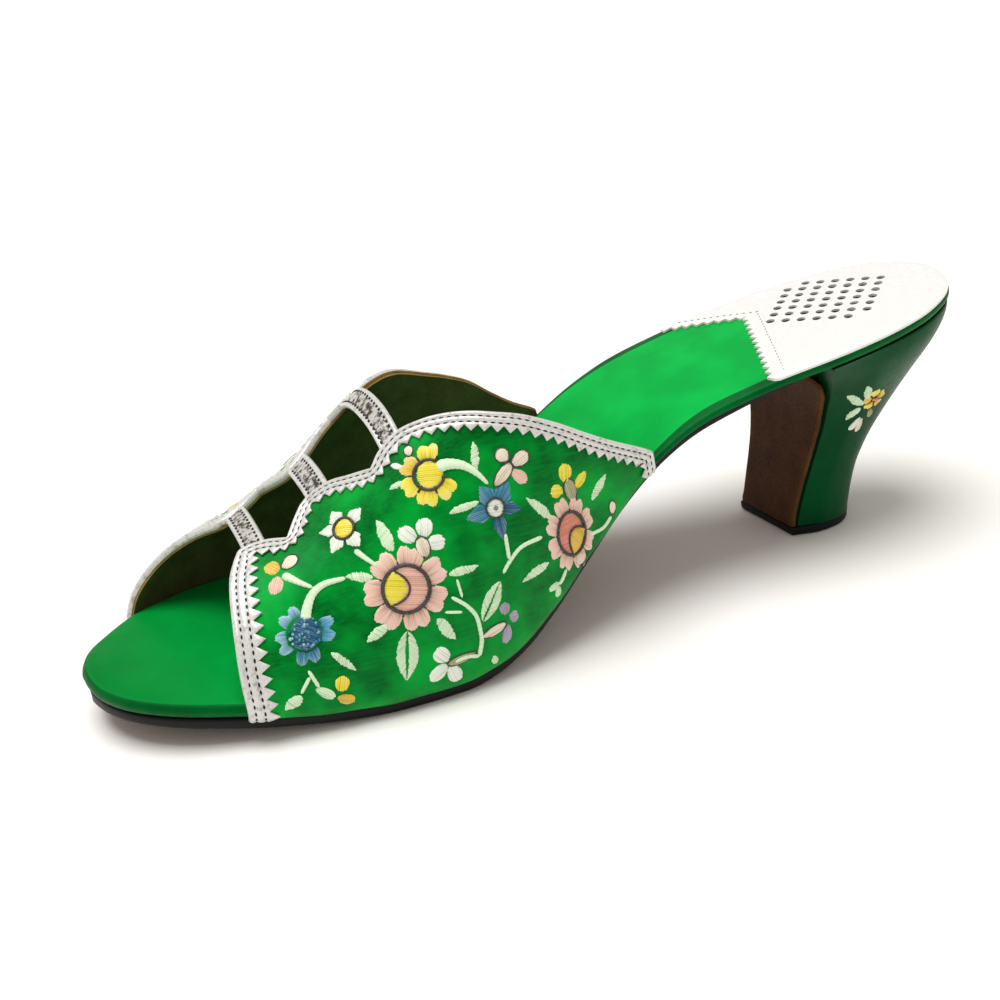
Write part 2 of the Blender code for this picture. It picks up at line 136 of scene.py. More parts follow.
# Cross-section of the trim from the panel's edge inwards: distance from the edge and lift off the satin.
TRIM_PROFILE = (
    (0.3, -1.0), (-0.2, -0.95), (-0.42, -0.4), (-0.32, 0.25), (0.02, 0.6), (0.5, 0.74), (0.95, 0.66),
    (1.2, 0.5), (1.4, 0.4), (1.6, 0.5), (1.9, 0.64), (2.5, 0.7), (2.95, 0.62), (3.2, 0.48), (3.4, 0.38),
    (3.6, 0.48), (3.9, 0.6),
)
# One half of a strap's cross-section: share of its half width, and lift off the foot.
STRAP_PROFILE = (
    (-1.0, -0.9), (-1.04, -0.5), (-0.98, 0.12), (-0.88, 0.36), (-0.76, 0.34), (-0.66, 0.2), (-0.58, 0.16),
    (-0.5, 0.2), (-0.36, 0.32), (-0.2, 0.35), (0.0, 0.36),
)
STITCH_LINES = (1.4, 3.4)
TOOTH_ROOT = 4.3

# Embroidery on the inner panel. Big flowers: place, outer radius, narrowing along the shoe, lean, kind.
FLOWERS = (
    (165.3, 27.4, 9.8, 1.0, -38.0, "peony"),
    (124.1, 8.8, 9.6, 0.72, -30.0, "rear_peony"),
    (154.5, 49.7, 7.2, 1.0, -38.0, "yellow_rose"),
    (188.3, 30.9, 7.2, 0.95, -38.0, "cornflower"),
    (174.1, 57.3, 6.2, 1.0, -40.0, "white_star"),
    (142.1, 29.6, 6.8, 1.0, -33.0, "blue_star"),
)
# Petals of the star flowers: turn, share of the flower's radius, and width.
STAR_PETALS = {
    "white_star": ((49, 1.0, 3.6), (129, 0.95, 3.8), (183, 1.0, 3.0), (244, 0.98, 3.8), (312, 1.0, 3.8)),
    "blue_star": ((51, 0.98, 4.4), (118, 0.98, 4.2), (190, 1.1, 4.4), (279, 1.15, 3.4), (349, 1.0, 3.2)),
}
# Small rounded petals and cups: base, tip, width and floss.
PETALS = (
    (161.0, 37.0, 163.5, 43.0, 3.3, "white"), (159.0, 36.5, 158.0, 40.5, 3.4, "white"),
    (158.5, 34.0, 155.0, 32.0, 3.1, "white"), (159.5, 31.5, 160.0, 37.0, 2.8, "cream"),
    (189.5, 59.0, 191.5, 64.5, 3.1, "gold"), (188.5, 59.5, 185.0, 60.5, 2.9, "cream"),
    (190.0, 57.0, 192.0, 51.0, 3.1, "peach"), (183.5, 7.0, 182.5, 12.0, 2.9, "yellow"),
    (184.5, 5.0, 181.0, 3.5, 2.2, "gold"), (188.5, 9.5, 185.0, 5.5, 2.1, "leaf"),
    (159.0, 6.0, 161.5, 9.0, 3.4, "white"), (159.5, 5.0, 163.5, 3.0, 2.9, "white"),
    (158.5, 4.5, 157.2, 1.0, 3.2, "white"), (152.5, 5.0, 159.0, 5.0, 1.9, "olive"),
    (157.0, 59.0, 156.5, 62.0, 1.9, "cream"), (159.0, 57.5, 161.0, 61.5, 1.3, "white"),
    (137.0, 36.5, 139.0, 40.5, 2.9, "cream"), (136.0, 34.5, 132.0, 33.5, 2.9, "cream"),
    (141.0, 34.0, 136.5, 35.0, 2.5, "cream"), (136.5, 33.5, 133.5, 28.0, 2.6, "peach"),
    (124.0, 19.5, 123.5, 23.0, 3.1, "yellow"), (122.0, 16.0, 118.5, 16.5, 2.2, "yellow"),
    (125.0, 18.5, 128.0, 21.0, 2.8, "yellow"), (122.5, 14.0, 123.5, 19.5, 2.9, "olive"),
    (143.5, 8.0, 144.0, 10.5, 2.4, "violet"), (143.0, 7.0, 140.5, 6.0, 2.6, "violet"),
    (143.5, 6.0, 144.5, 3.0, 2.3, "violet"), (150.0, 7.0, 144.0, 6.5, 2.1, "cream"),
    (129.0, 3.5, 131.5, 4.0, 1.5, "leaf"), (129.0, 3.0, 129.5, 1.5, 1.5, "leaf"),
    (112.0, 2.0, 112.0, 4.5, 1.8, "cream"), (123.0, 4.0, 121.8, 1.2, 2.6, "cream"),
    (147.5, 0.8, 148.0, 2.2, 1.6, "leaf"),
)
# Leaves: base, tip, width and whether a bare vein parts the two halves.
LEAVES = (
    (166.0, 39.0, 167.5, 51.0, 2.8, False), (155.5, 24.0, 148.5, 21.5, 2.3, False),
    (171.0, 21.5, 176.0, 19.5, 2.2, False), (167.0, 17.0, 169.0, 5.0, 5.2, True),
    (160.0, 16.0, 156.5, 9.5, 2.6, False), (171.5, 36.5, 177.0, 42.5, 2.6, False),
    (184.0, 21.0, 179.5, 12.5, 2.2, False), (192.0, 8.0, 196.0, 3.5, 2.6, False),
    (160.0, 54.0, 163.0, 55.5, 1.5, False), (144.5, 40.5, 143.5, 47.5, 2.2, False),
    (145.5, 34.0, 152.5, 37.0, 2.0, False), (129.0, 16.5, 134.5, 25.5, 2.5, False),
    (117.5, 9.5, 113.0, 11.0, 2.1, False), (131.0, 9.0, 138.5, 11.0, 2.1, False),
    (149.5, 10.0, 144.0, 15.0, 4.2, True),
)
# Stems: places along each, then its half width at the first place and at the last.
STEMS = (
    (((173.5, 48.0), (172.0, 43.5), (170.0, 38.5)), 0.75, 0.4),
    (((189.0, 56.5), (186.5, 50.5), (184.0, 45.5)), 1.1, 0.4),
    (((177.0, 42.0), (181.5, 44.5), (184.5, 43.5), (186.5, 39.5), (187.5, 35.5)), 0.5, 1.25),
    (((189.5, 17.0), (188.0, 10.0)), 0.45, 0.45),
    (((189.5, 14.5), (192.0, 9.0)), 0.45, 0.4),
    (((152.4, 49.6), (150.0, 48.0), (147.0, 44.5), (144.5, 40.0), (142.5, 35.5)), 1.5, 0.4),
    (((141.0, 23.0), (141.0, 19.5), (141.0, 17.5)), 0.5, 0.5),
    (((132.0, 15.0), (137.5, 17.5), (141.0, 17.0), (143.0, 16.0)), 0.55, 0.45),
    (((119.0, 4.0), (115.0, 2.0), (112.5, 2.0)), 0.45, 0.45),
    (((154.0, 22.0), (153.5, 17.5)), 0.35, 0.35),
    (((156.0, 19.0), (153.0, 15.5), (151.0, 12.0), (150.5, 8.5), (150.5, 6.5), (151.5, 4.0)), 0.45, 0.6),
    (((158.0, 16.5), (154.0, 14.5)), 0.35, 0.35),
    (((126.5, 4.0), (128.0, 3.2), (129.0, 3.2)), 0.45, 0.45),
    (((151.5, 4.0), (154.5, 5.0), (157.5, 5.0)), 0.5, 0.5),
)
# Sprig on the heel: place from the back (0) to the breast (1), and level from the lift (0) to the seat (1).
SPRIG_LEAVES = (
    (0.71, 0.60, 0.88, 0.685, 2.6), (0.72, 0.585, 0.81, 0.53, 2.2), (0.685, 0.63, 0.75, 0.72, 2.2),
)
SPRIG_PETALS = (
    (0.66, 0.52, 0.72, 0.465, 1.7, "white"), (0.63, 0.51, 0.60, 0.44, 1.6, "cream"),
    (0.58, 0.55, 0.52, 0.50, 1.6, "olive"),
)
SPRIG_FLOWER = (0.61, 0.61)

# Heel sock: front edge points (along, across) from the inner side, and the lozenge of punched dots.
SOCK_FRONT = ((65.4, 24.2), (51.3, -11.8), (69.2, -26.6))
LOZENGE = (32.5, -3.6, 19.0, 14.5)   # middle along, middle across, half lengths
DOT_STEP = 5.6

# Stage, in metres and degrees.
EYE, AIM = (0.303, -0.119, 0.1783), (-0.0013, -0.0102, 0.0263)
ROLL, LENS, SENSOR = 5.74, 52.0, 36.0
LAMP, LAMP_ENERGY, LAMP_SPREAD = (-0.08, -0.14, 1.0), 2.55, 42.0
SURROUND = 0.52
FLOOR_HALF, FLOOR_DROP = 30.0, 0.00005


def linear(code):
    """Linear colour of an sRGB hex code."""
    parts = [int(code[i:i + 2], 16) / 255.0 for i in (0, 2, 4)]
    return tuple(c / 12.92 if c <= 0.04045 else ((c + 0.055) / 1.055) ** 2.4 for c in parts) + (1.0,)


FLOSS = {
    "white": "EEF6E6", "cream": "EFE4CA", "peach": "EDC3AE", "salmon": "EFBAA5", "coral": "E08870",
    "yellow": "F2E038", "gold": "E6C13F", "leaf": "D8F2CA", "olive": "A6A47A", "sky": "78B2C4",
    "azure": "4C9CBE", "blue": "34809E", "teal": "175E7E", "violet": "A69CB0", "outline": "120703",
}


class SlipperSizes(bpy.types.PropertyGroup):
    """Sizes of the sewn and punched detail."""

    tooth_pitch: bpy.props.FloatProperty(
        name="Tooth pitch", description="Spacing of the pinked teeth of trim and sock",
        default=2.9 * MM, min=MM, unit="LENGTH")
    tooth_depth: bpy.props.FloatProperty(
        name="Tooth depth", description="How far the trim's pinked teeth reach over the satin",
        default=2.2 * MM, min=0.0, unit="LENGTH")
    stitch_pitch: bpy.props.FloatProperty(
        name="Stitch pitch", description="Spacing of the machine stitches on trim and straps",
        default=1.75 * MM, min=0.5 * MM, unit="LENGTH")
    strand: bpy.props.FloatProperty(
        name="Floss strand", description="Width of one strand of embroidery floss",
        default=0.46 * MM, min=0.1 * MM, unit="LENGTH")
    lining_depth: bpy.props.FloatProperty(
        name="Panel thickness", description="Satin, backing and lining together",
        default=1.5 * MM, min=0.5 * MM, unit="LENGTH")
    sock_thickness: bpy.props.FloatProperty(
        name="Sock thickness", description="Thickness of the leather heel sock",
        default=0.6 * MM, min=0.2 * MM, unit="LENGTH")
    dot: bpy.props.FloatProperty(
        name="Punched dot", description="Diameter of the dots punched in the heel sock",
        default=2.3 * MM, min=0.4 * MM, unit="LENGTH")


class SlipperColours(bpy.types.PropertyGroup):
    """Colours of the slipper's materials."""

    insole: bpy.props.FloatVectorProperty(
        name="Insole satin", description="Bright green of the insole cover",
        subtype="COLOR", size=4, min=0.0, max=1.0, default=linear("04A943"))
    panel: bpy.props.FloatVectorProperty(
        name="Panel satin", description="Green of the embroidered side panels",
        subtype="COLOR", size=4, min=0.0, max=1.0, default=linear("007C25"))
    # Painted shade: the insole's rim and underside are painted this deeper green.
    rim: bpy.props.FloatVectorProperty(
        name="Rim satin with painted shade", description="Deeper green painted on the insole's rim and underside as shade",
        subtype="COLOR", size=4, min=0.0, max=1.0, default=linear("00541F"))
    heel: bpy.props.FloatVectorProperty(
        name="Heel satin", description="Darker green of the heel cover",
        subtype="COLOR", size=4, min=0.0, max=1.0, default=linear("003818"))
    silver: bpy.props.FloatVectorProperty(
        name="Silver leather", description="Foil of trim and straps",
        subtype="COLOR", size=4, min=0.0, max=1.0, default=linear("DEDEDA"))
    sock: bpy.props.FloatVectorProperty(
        name="Sock leather", description="Paler foil of the heel sock",
        subtype="COLOR", size=4, min=0.0, max=1.0, default=linear("ECECEA"))
    lining: bpy.props.FloatVectorProperty(
        name="Lining", description="Dark glazed lining of the panels",
        subtype="COLOR", size=4, min=0.0, max=1.0, default=linear("4E4A2E"))
    breast: bpy.props.FloatVectorProperty(
        name="Sole leather", description="Brown leather of the heel's breast and the tread",
        subtype="COLOR", size=4, min=0.0, max=1.0, default=linear("46290F"))


def columns(rows, names):
    """Give a table's columns by name."""
    return {name: np.array([row[i] for row in rows], float) for i, name in enumerate(names)}


def smooth(x, xs, ys):
    """Cubic through the points of a table, without overshoot."""
    x = np.clip(np.asarray(x, float), xs[0], xs[-1])
    step = np.diff(xs)
    rise = np.diff(ys) / step
    slope = np.empty_like(ys)
    slope[0], slope[-1] = rise[0], rise[-1]
    both = rise[:-1] * rise[1:]
    mean = 2.0 * both / np.where(np.abs(rise[:-1] + rise[1:]) < 1e-12, 1.0, rise[:-1] + rise[1:])
    slope[1:-1] = np.where(both > 0.0, mean, 0.0)
    i = np.clip(np.searchsorted(xs, x, side="right") - 1, 0, len(step) - 1)
    t = (x - xs[i]) / step[i]
    start = (1.0 + 2.0 * t) * (1.0 - t) ** 2 * ys[i] + t * t * (3.0 - 2.0 * t) * ys[i + 1]
    return start + step[i] * (t * (1.0 - t) ** 2 * slope[i] - t * t * (1.0 - t) * slope[i + 1])


def spline(points, per_span):
    """Round a list of points into a dense curve that passes through each of them."""
    p = np.array(points, float)
    before = np.vstack((2.0 * p[0] - p[1], p[:-1]))
    after = np.vstack((p[1:], 2.0 * p[-1] - p[-2]))
    tangent = 0.5 * (after - before)
    t = np.linspace(0.0, 1.0, per_span, endpoint=False)[:, None]
    curve = []
    for i in range(len(p) - 1):
        bend = t * (1.0 - t) ** 2 * tangent[i] - t * t * (1.0 - t) * tangent[i + 1]
        curve.append((1.0 + 2.0 * t) * (1.0 - t) ** 2 * p[i] + t * t * (3.0 - 2.0 * t) * p[i + 1] + bend)
    return np.vstack(curve + [p[-1:]])


OUT = columns(OUTLINE, OUTLINE_COLUMNS)
PRO = columns(PROFILE, PROFILE_COLUMNS)
RDG = columns(RIDGE, RIDGE_COLUMNS)
HEL = columns(HEEL, HEEL_COLUMNS)
EDGES = {side: spline(np.column_stack((OUT["along"], OUT[side])), 24) for side in ("medial", "lateral")}
HEEL_END, TOE_END = OUT["along"][0], OUT["along"][-1]
# Shares of the heel's depth from breast (1) to back (0), crowded together at the back.
HEEL_SHARES = 1.0 - np.sin(np.linspace(0.0, 0.5 * math.pi, 34))


def half_width(along, side, inset=0.0):
    """Half width of the shoe's outline on one side, the inset measured square to the outline."""
    curve = EDGES[side]
    steps = curve[:, 0] + np.arange(len(curve)) * 1e-9
    slope = np.interp(along, curve[:, 0], np.gradient(curve[:, 1], steps))
    return np.interp(along, curve[:, 0], curve[:, 1]) - inset * np.minimum(np.hypot(1.0, slope), 2.5)


def insole_top(along):
    """Height of the insole's upper face."""
    return smooth(along, PRO["along"], PRO["top"])


def insole_bottom(along):
    """Height of the insole's lower face."""
    return insole_top(along) - smooth(along, PRO["along"], PRO["insole"])


def sole_top(along):
    """Height of the outsole's upper face."""
    return insole_bottom(along) - GAP


def sole_bottom(along):
    """Height of the tread, which stops at the floor."""
    return np.maximum(sole_top(along) - smooth(along, PRO["along"], PRO["outsole"]), 0.0)


def blend(x, start, end):
    """Soft step from 0 at start to 1 at end."""
    t = np.clip((x - start) / (end - start), 0.0, 1.0)
    return t * t * (3.0 - 2.0 * t)


def spot(along, across, height):
    """Points of the frame, in millimetres, from along, across and up."""
    along, across, height = np.broadcast_arrays(along, across, height)
    return np.stack((across - OFF_AXIS, MIDDLE - along, height), axis=-1)


def turning(degrees):
    """Matrix that turns flat points."""
    c, s = math.cos(math.radians(degrees)), math.sin(math.radians(degrees))
    return np.array(((c, -s), (s, c)))


def unit(v):
    """Directions of unit length."""
    return v / np.maximum(np.linalg.norm(v, axis=-1, keepdims=True), 1e-9)


def run_length(points):
    """Length along a line of points, from 0."""
    return np.concatenate(([0.0], np.cumsum(np.linalg.norm(np.diff(points, axis=0), axis=-1))))


def foot(along, angle):
    """Outside of panels and straps."""
    along, angle = np.broadcast_arrays(np.asarray(along, float), np.asarray(angle, float))
    turn = np.radians(np.clip(angle, 0.0, 180.0))
    base = insole_bottom(along)
    power = 2.0 / SECTION_POWER
    rise = (smooth(along, RDG["along"], RDG["height"]) - base) * np.maximum(np.sin(turn), 0.0) ** power
    medial, lateral = (half_width(along, side, -UPPER_PROUD) for side in ("medial", "lateral"))
    across = np.where(angle < 90.0, medial, lateral) * np.abs(np.cos(turn)) ** power
    across = across - FEATHER_TUCK * np.clip(1.0 - rise / FEATHER_RISE, 0.0, 1.0) ** 2
    return spot(along, np.where(angle < 90.0, across, -across), base + rise)


def slopes(surface, a, b, step=0.05):
    """How a surface runs with its two measures, and its unit normal."""
    da = (surface(a + step, b) - surface(a - step, b)) / (2.0 * step)
    db = (surface(a, b + step) - surface(a, b - step)) / (2.0 * step)
    return da, db, unit(np.cross(db, da))


def measures(da, db, move):
    """Changes of a surface's two measures that make a small move along it."""
    aa, ab, bb = ((x * y).sum(-1) for x, y in ((da, da), (da, db), (db, db)))
    am, bm = (da * move).sum(-1), (db * move).sum(-1)
    det = np.maximum(aa * bb - ab * ab, 1e-12)
    return (bb * am - ab * bm) / det, (aa * bm - ab * am) / det


def along_line(line, run, places):
    """Points of a line at given lengths along it."""
    return np.column_stack([np.interp(places, run, line[:, k]) for k in range(line.shape[1])])


def quads_of(rows, count, closed):
    """Quads between neighbouring rows of points. In closed rows the last point meets the first."""
    pairs = [(i, (i + 1) % count) for i in range(count if closed else count - 1)]
    return [(k + i, k + j, k + count + j, k + count + i)
            for k in range(0, (rows - 1) * count, count) for i, j in pairs]


class Piece:
    """Points, faces and material numbers of one piece while it is made, in millimetres."""

    def __init__(self):
        self.points, self.faces, self.paint, self.tones, self.count = [], [], [], [], 0

    def add(self, points, faces, paint=0, tone=0.6):
        """Add points and faces that number them from 0, with one material number or one for each face."""
        points = np.asarray(points, float).reshape(-1, 3)
        self.points.append(points)
        self.tones.append(np.broadcast_to(tone, len(points)))
        self.faces += [tuple(self.count + i for i in face) for face in faces]
        self.paint += [paint] * len(faces) if np.isscalar(paint) else list(paint)
        self.count += len(points)

    def tube(self, rings, paint=0, tone=0.6):
        """Skin a row of rings and close both ends. paint may hold a number for each quad of a ring."""
        rows, count = rings.shape[:2]
        quads = quads_of(rows, count, True)
        colours = [paint] * len(quads) if np.isscalar(paint) else list(np.ravel(paint))
        ends = [tuple(range(count - 1, -1, -1)), tuple((rows - 1) * count + i for i in range(count))]
        self.add(rings, quads + ends, colours + [colours[0], colours[-1]], tone)

    def shell(self, outer, inner, paints):
        """Two sheets of points and the rim between them, with a material number for each of the three."""
        n, m = outer.shape[:2]
        at = np.arange(n * m).reshape(n, m)
        quads = quads_of(n, m, False)
        back = [tuple(k + n * m for k in reversed(q)) for q in quads]
        loop = np.concatenate((at[:-1, 0], at[-1, :-1], at[:0:-1, -1], at[0, :0:-1]))
        rim = [(a, b, b + n * m, a + n * m) for a, b in zip(loop, np.roll(loop, -1))]
        colours = [paints[0]] * len(quads) + [paints[1]] * len(back) + [paints[2]] * len(rim)
        self.add(np.concatenate((outer.reshape(-1, 3), inner.reshape(-1, 3))), quads + back + rim, colours)

    def make(self, name, materials, slot=None, replaces=None, sharp=None):
        """Turn what was added into an object that rides on the part's body."""
        mesh = bpy.data.meshes.new(name)
        mesh.from_pydata((np.vstack(self.points) * MM).tolist(), [], self.faces)
        for material in materials:
            mesh.materials.append(material)
        mesh.polygons.foreach_set("material_index", np.array(self.paint, np.int32))
        body = bmesh.new()
        body.from_mesh(mesh)
        bmesh.ops.recalc_face_normals(body, faces=body.faces)
        body.to_mesh(mesh)
        body.free()
        mesh.shade_smooth()
        tones = np.concatenate(self.tones).astype(np.float32)
        if np.ptp(tones) > 0.0:
            mesh.attributes.new("tone", "FLOAT", "POINT").data.foreach_set("value", tones)
        if sharp is not None:
            mesh.set_sharp_from_angle(angle=math.radians(sharp))
        piece = bpy.data.objects.new(name, mesh)
        bpy.context.scene.collection.objects.link(piece)
        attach(piece, "root")
        if replaces:
            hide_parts(replaces)
        return piece


def add_node(tree, kind, inputs=None, out=0, **settings):
    """Add a shader node, set its properties, and set or link its inputs. Gives the output asked for."""
    made = tree.nodes.new("ShaderNode" + kind)
    for name, value in settings.items():
        setattr(made, name, value)
    for name, value in (inputs or {}).items():
        if isinstance(value, bpy.types.NodeSocket):
            tree.links.new(value, made.inputs[name])
        else:
            made.inputs[name].default_value = value
    return made.outputs[out]


def new_material(name, **fixed):
    """A material with a Principled shader whose fixed inputs are set by name, underscores for spaces."""
    material = bpy.data.materials.new(name)
    material.use_nodes = True
    shader = material.node_tree.nodes["Principled BSDF"]
    for key, value in fixed.items():
        shader.inputs[key.replace("_", " ")].default_value = value
    return material, material.node_tree, shader


def per_mm(size):
    """Scale of a noise or cell texture, in object space, for features of a size in millimetres."""
    return 1.0 / (size * MM)


def shade(colour, factor):
    """A colour made lighter or darker."""
    return tuple(min(1.0, c * factor) for c in colour[:3]) + (1.0,)


def object_space(tree):
    """Coordinates in metres in the shoe's own frame."""
    return tree.nodes.new("ShaderNodeTexCoord").outputs["Object"]


def woven_satin(name, colour, lie, painted_light_contrast=1.0, roughness=0.36, gloss=0.35, toe=None):
    """Dyed rayon satin, woven with long floats: a silky gloss, painted sheen streaks along the floats, and
    painted clouds of light and shade.
    """
    material, tree, shader = new_material(
        name, IOR=1.5, Anisotropic=0.4, Specular_IOR_Level=gloss, Specular_Tint=(0.1, 1.0, 0.35, 1.0))
    here = object_space(tree)
    # Floats are 0.1 to 0.2 mm wide, too fine to show, so the streaks are drawn 0.5 mm wide and 10 mm long.
    drawn = add_node(tree, "Mapping", {"Vector": here, "Scale": lie})
    streak = add_node(tree, "TexNoise", {
        "Vector": drawn, "Scale": per_mm(0.5), "Detail": 3.0, "Roughness": 0.6})
    # Painted light and shade: clouds of about 15 mm are painted lighter and darker, for satin lying uneven
    # over padding.
    cloud = add_node(tree, "TexNoise", {
        "Vector": here, "Scale": per_mm(15.0), "Detail": 3.0, "Roughness": 0.55})
    mix = add_node(tree, "MapRange", {"Value": cloud, "From Min": 0.38, "From Max": 0.64})
    low, high = shade(colour, 1.0 - 0.55 * painted_light_contrast), shade(colour, 1.0 + 0.7 * painted_light_contrast)
    broad = add_node(tree, "MixRGB", {"Fac": mix, "Color1": low, "Color2": high})
    # The streaks are painted sheen: they lighten the colour along the floats.
    fine = add_node(tree, "MapRange", {
        "Value": streak, "From Min": 0.4, "From Max": 0.7, "To Max": 0.32 * painted_light_contrast})
    tint = add_node(tree, "MixRGB", {"Fac": fine, "Color1": broad, "Color2": shade(colour, 1.7)})
    if toe:
        # Painted shade: towards the toe the same satin is painted deeper.
        level = add_node(tree, "SeparateXYZ", {"Vector": here}, 1)
        part = add_node(tree, "MapRange", {
            "Value": level, "From Min": toe[0] * MM, "From Max": toe[1] * MM})
        tint = add_node(tree, "MixRGB", {"Fac": part, "Color1": tint, "Color2": shade(colour, toe[2])})
    tree.links.new(tint, shader.inputs["Base Color"])
    worn = add_node(tree, "MapRange", {
        "Value": streak, "From Min": 0.3, "From Max": 0.7,
        "To Min": roughness - 0.06, "To Max": roughness + 0.1})
    tree.links.new(worn, shader.inputs["Roughness"])
    soft = add_node(tree, "Bump", {"Height": cloud, "Strength": 0.35, "Distance": 0.8 * MM})
    relief = add_node(tree, "Bump", {
        "Height": streak, "Strength": 0.25, "Distance": 0.08 * MM, "Normal": soft})
    tree.links.new(relief, shader.inputs["Normal"])
    return material


def foiled_leather(name, colour, rub, grain=0.9, metal=0.35, bare=0.5, under="6E6A62"):
    """Kid leather with a pressed silver foil: bright and soft, and grey where the foil has rubbed off."""
    material, tree, shader = new_material(name, Metallic=metal)
    here = object_space(tree)
    # The grain's cells are given in millimetres, and the rubbed patches are about 1.5 mm wide.
    pores = add_node(tree, "TexVoronoi", {
        "Vector": here, "Scale": per_mm(grain)}, feature="DISTANCE_TO_EDGE")
    worn = add_node(tree, "TexNoise", {
        "Vector": here, "Scale": per_mm(1.5), "Detail": 4.0, "Roughness": 0.65})
    patch = add_node(tree, "MapRange", {
        "Value": worn, "From Min": bare, "From Max": bare + 0.14, "To Max": rub})
    crease = add_node(tree, "MapRange", {
        "Value": pores, "From Min": 0.0, "From Max": 0.08, "To Min": 0.35 * rub, "To Max": 0.0})
    both = add_node(tree, "Math", {0: patch, 1: crease}, operation="MAXIMUM")
    tint = add_node(tree, "MixRGB", {"Fac": both, "Color1": colour, "Color2": linear(under)})
    tree.links.new(tint, shader.inputs["Base Color"])
    gloss = add_node(tree, "MapRange", {
        "Value": worn, "From Min": 0.35, "From Max": 0.7, "To Min": 0.26, "To Max": 0.5})
    tree.links.new(gloss, shader.inputs["Roughness"])
    coarse = add_node(tree, "Bump", {"Height": worn, "Strength": 0.35, "Distance": 0.25 * MM})
    relief = add_node(tree, "Bump", {
        "Height": pores, "Strength": 0.3, "Distance": 0.15 * MM, "Normal": coarse})
    tree.links.new(relief, shader.inputs["Normal"])
    return material


def laid_floss(name, colour):
    """Rayon floss laid in satin stitch: a soft gloss, a shade that changes at random from strand to strand,
    and painted shade and highlight carried by the strands' tone.
    """
    material, tree, shader = new_material(name, IOR=1.5, Roughness=0.45, Specular_IOR_Level=0.35)
    here = object_space(tree)
    # A filament is about 0.02 mm, too fine to show, so fuzz of 0.3 mm is drawn over the strands' tones,
    # which hold painted shade and highlight as well as random strand colour.
    fuzz = add_node(tree, "TexNoise", {"Vector": here, "Scale": per_mm(0.3), "Detail": 2.0})
    strand = add_node(tree, "Attribute", out="Fac", attribute_name="tone")
    pale = tuple(c + 0.3 * (1.0 - c) for c in colour[:3]) + (1.0,)
    both = add_node(tree, "Math", {0: fuzz, 1: 0.5, 2: strand}, operation="MULTIPLY_ADD")
    dark = add_node(tree, "MapRange", {"Value": both, "From Min": 0.3, "From Max": 0.75})
    light = add_node(tree, "MapRange", {"Value": both, "From Min": 0.75, "From Max": 1.4})
    tint = add_node(tree, "MixRGB", {"Fac": dark, "Color1": shade(colour, 0.55), "Color2": colour})
    final = add_node(tree, "MixRGB", {"Fac": light, "Color1": tint, "Color2": pale})
    tree.links.new(final, shader.inputs["Base Color"])
    relief = add_node(tree, "Bump", {"Height": fuzz, "Strength": 0.3, "Distance": 0.08 * MM})
    tree.links.new(relief, shader.inputs["Normal"])
    return material


def tanned_leather(name, colour, pale, grain, roughness, coat=0.0):
    """Leather, tanned and rolled, and other dull stock: fine pores, an uneven shade, a low wax shine."""
    material, tree, shader = new_material(
        name, IOR=1.5, Specular_IOR_Level=0.14, Coat_Weight=coat, Coat_Roughness=0.3)
    here = object_space(tree)
    # Pores are given in millimetres, and the dye lies in clouds of about 7 mm.
    pores = add_node(tree, "TexNoise", {
        "Vector": here, "Scale": per_mm(grain), "Detail": 5.0, "Roughness": 0.65})
    cloud = add_node(tree, "TexNoise", {"Vector": here, "Scale": per_mm(7.0), "Detail": 3.0})
    mix = add_node(tree, "MapRange", {"Value": cloud, "From Min": 0.35, "From Max": 0.7})
    broad = add_node(tree, "MixRGB", {"Fac": mix, "Color1": colour, "Color2": pale})
    dark = add_node(tree, "MapRange", {"Value": pores, "From Min": 0.45, "From Max": 0.7, "To Max": 0.45})
    tint = add_node(tree, "MixRGB", {"Fac": dark, "Color1": broad, "Color2": shade(colour, 0.5)})
    tree.links.new(tint, shader.inputs["Base Color"])
    gloss = add_node(tree, "MapRange", {
        "Value": pores, "From Min": 0.3, "From Max": 0.7,
        "To Min": roughness - 0.1, "To Max": roughness + 0.12})
    tree.links.new(gloss, shader.inputs["Roughness"])
    relief = add_node(tree, "Bump", {"Height": pores, "Strength": 0.35, "Distance": 0.12 * MM})
    tree.links.new(relief, shader.inputs["Normal"])
    return material


def sizes():
    """Sizes from the panel's settings, in millimetres."""
    held = bpy.context.scene.slipper_sizes
    return {name: getattr(held, name) / MM for name in SlipperSizes.__annotations__}


def colour_of(name):
    """A colour from the panel's settings."""
    return tuple(getattr(bpy.context.scene.slipper_colours, name))


def stations(count):
    """Along-values of cross-sections from heel to toe, crowded together towards both ends."""
    u = np.linspace(0.0, 1.0, count)
    return HEEL_END + (TOE_END - HEEL_END) * 0.5 * (1.0 - np.cos(math.pi * u))


def covered(along, side):
    """1 where the panels wrap the insole, 0 at the open toe and heel."""
    i = 0 if side == "medial" else 2
    at_front = 1.0 - blend(along, FRONT_EDGE[0][i] - INSET_RUN, FRONT_EDGE[0][i] - 0.5)
    return at_front * blend(along, REAR_TIP[i] + 0.5, REAR_TIP[i] + INSET_RUN)


def insole_sides(along):
    """Middle and half width of the insole, drawn in where the panels come down over it."""
    medial = half_width(along, "medial", INSOLE_INSET * covered(along, "medial"))
    lateral = half_width(along, "lateral", INSOLE_INSET * covered(along, "lateral"))
    return 0.5 * (medial - lateral), np.maximum(0.5 * (medial + lateral), 0.35)


def insole_crown(along, across):
    """Height of the padded insole's top: slightly domed, and rounded over at the rim."""
    centre, half = insole_sides(along)
    top, thick = insole_top(along), insole_top(along) - insole_bottom(along)
    radius = np.minimum(0.5 * thick, 0.45 * half)
    reach = np.clip(half - np.abs(across - centre), 0.0, None)
    drop = radius - np.sqrt(np.clip(radius ** 2 - np.clip(radius - reach, 0.0, None) ** 2, 0.0, None))
    return top - drop - CROWN * blend(np.abs(across - centre) / half, 0.3, 1.0)


def skewed(along, across, height):
    """Turn of the heel, fading out towards the seat."""
    return along - HEEL_SKEW * across * (1.0 - blend(height, 28.0, 48.0))


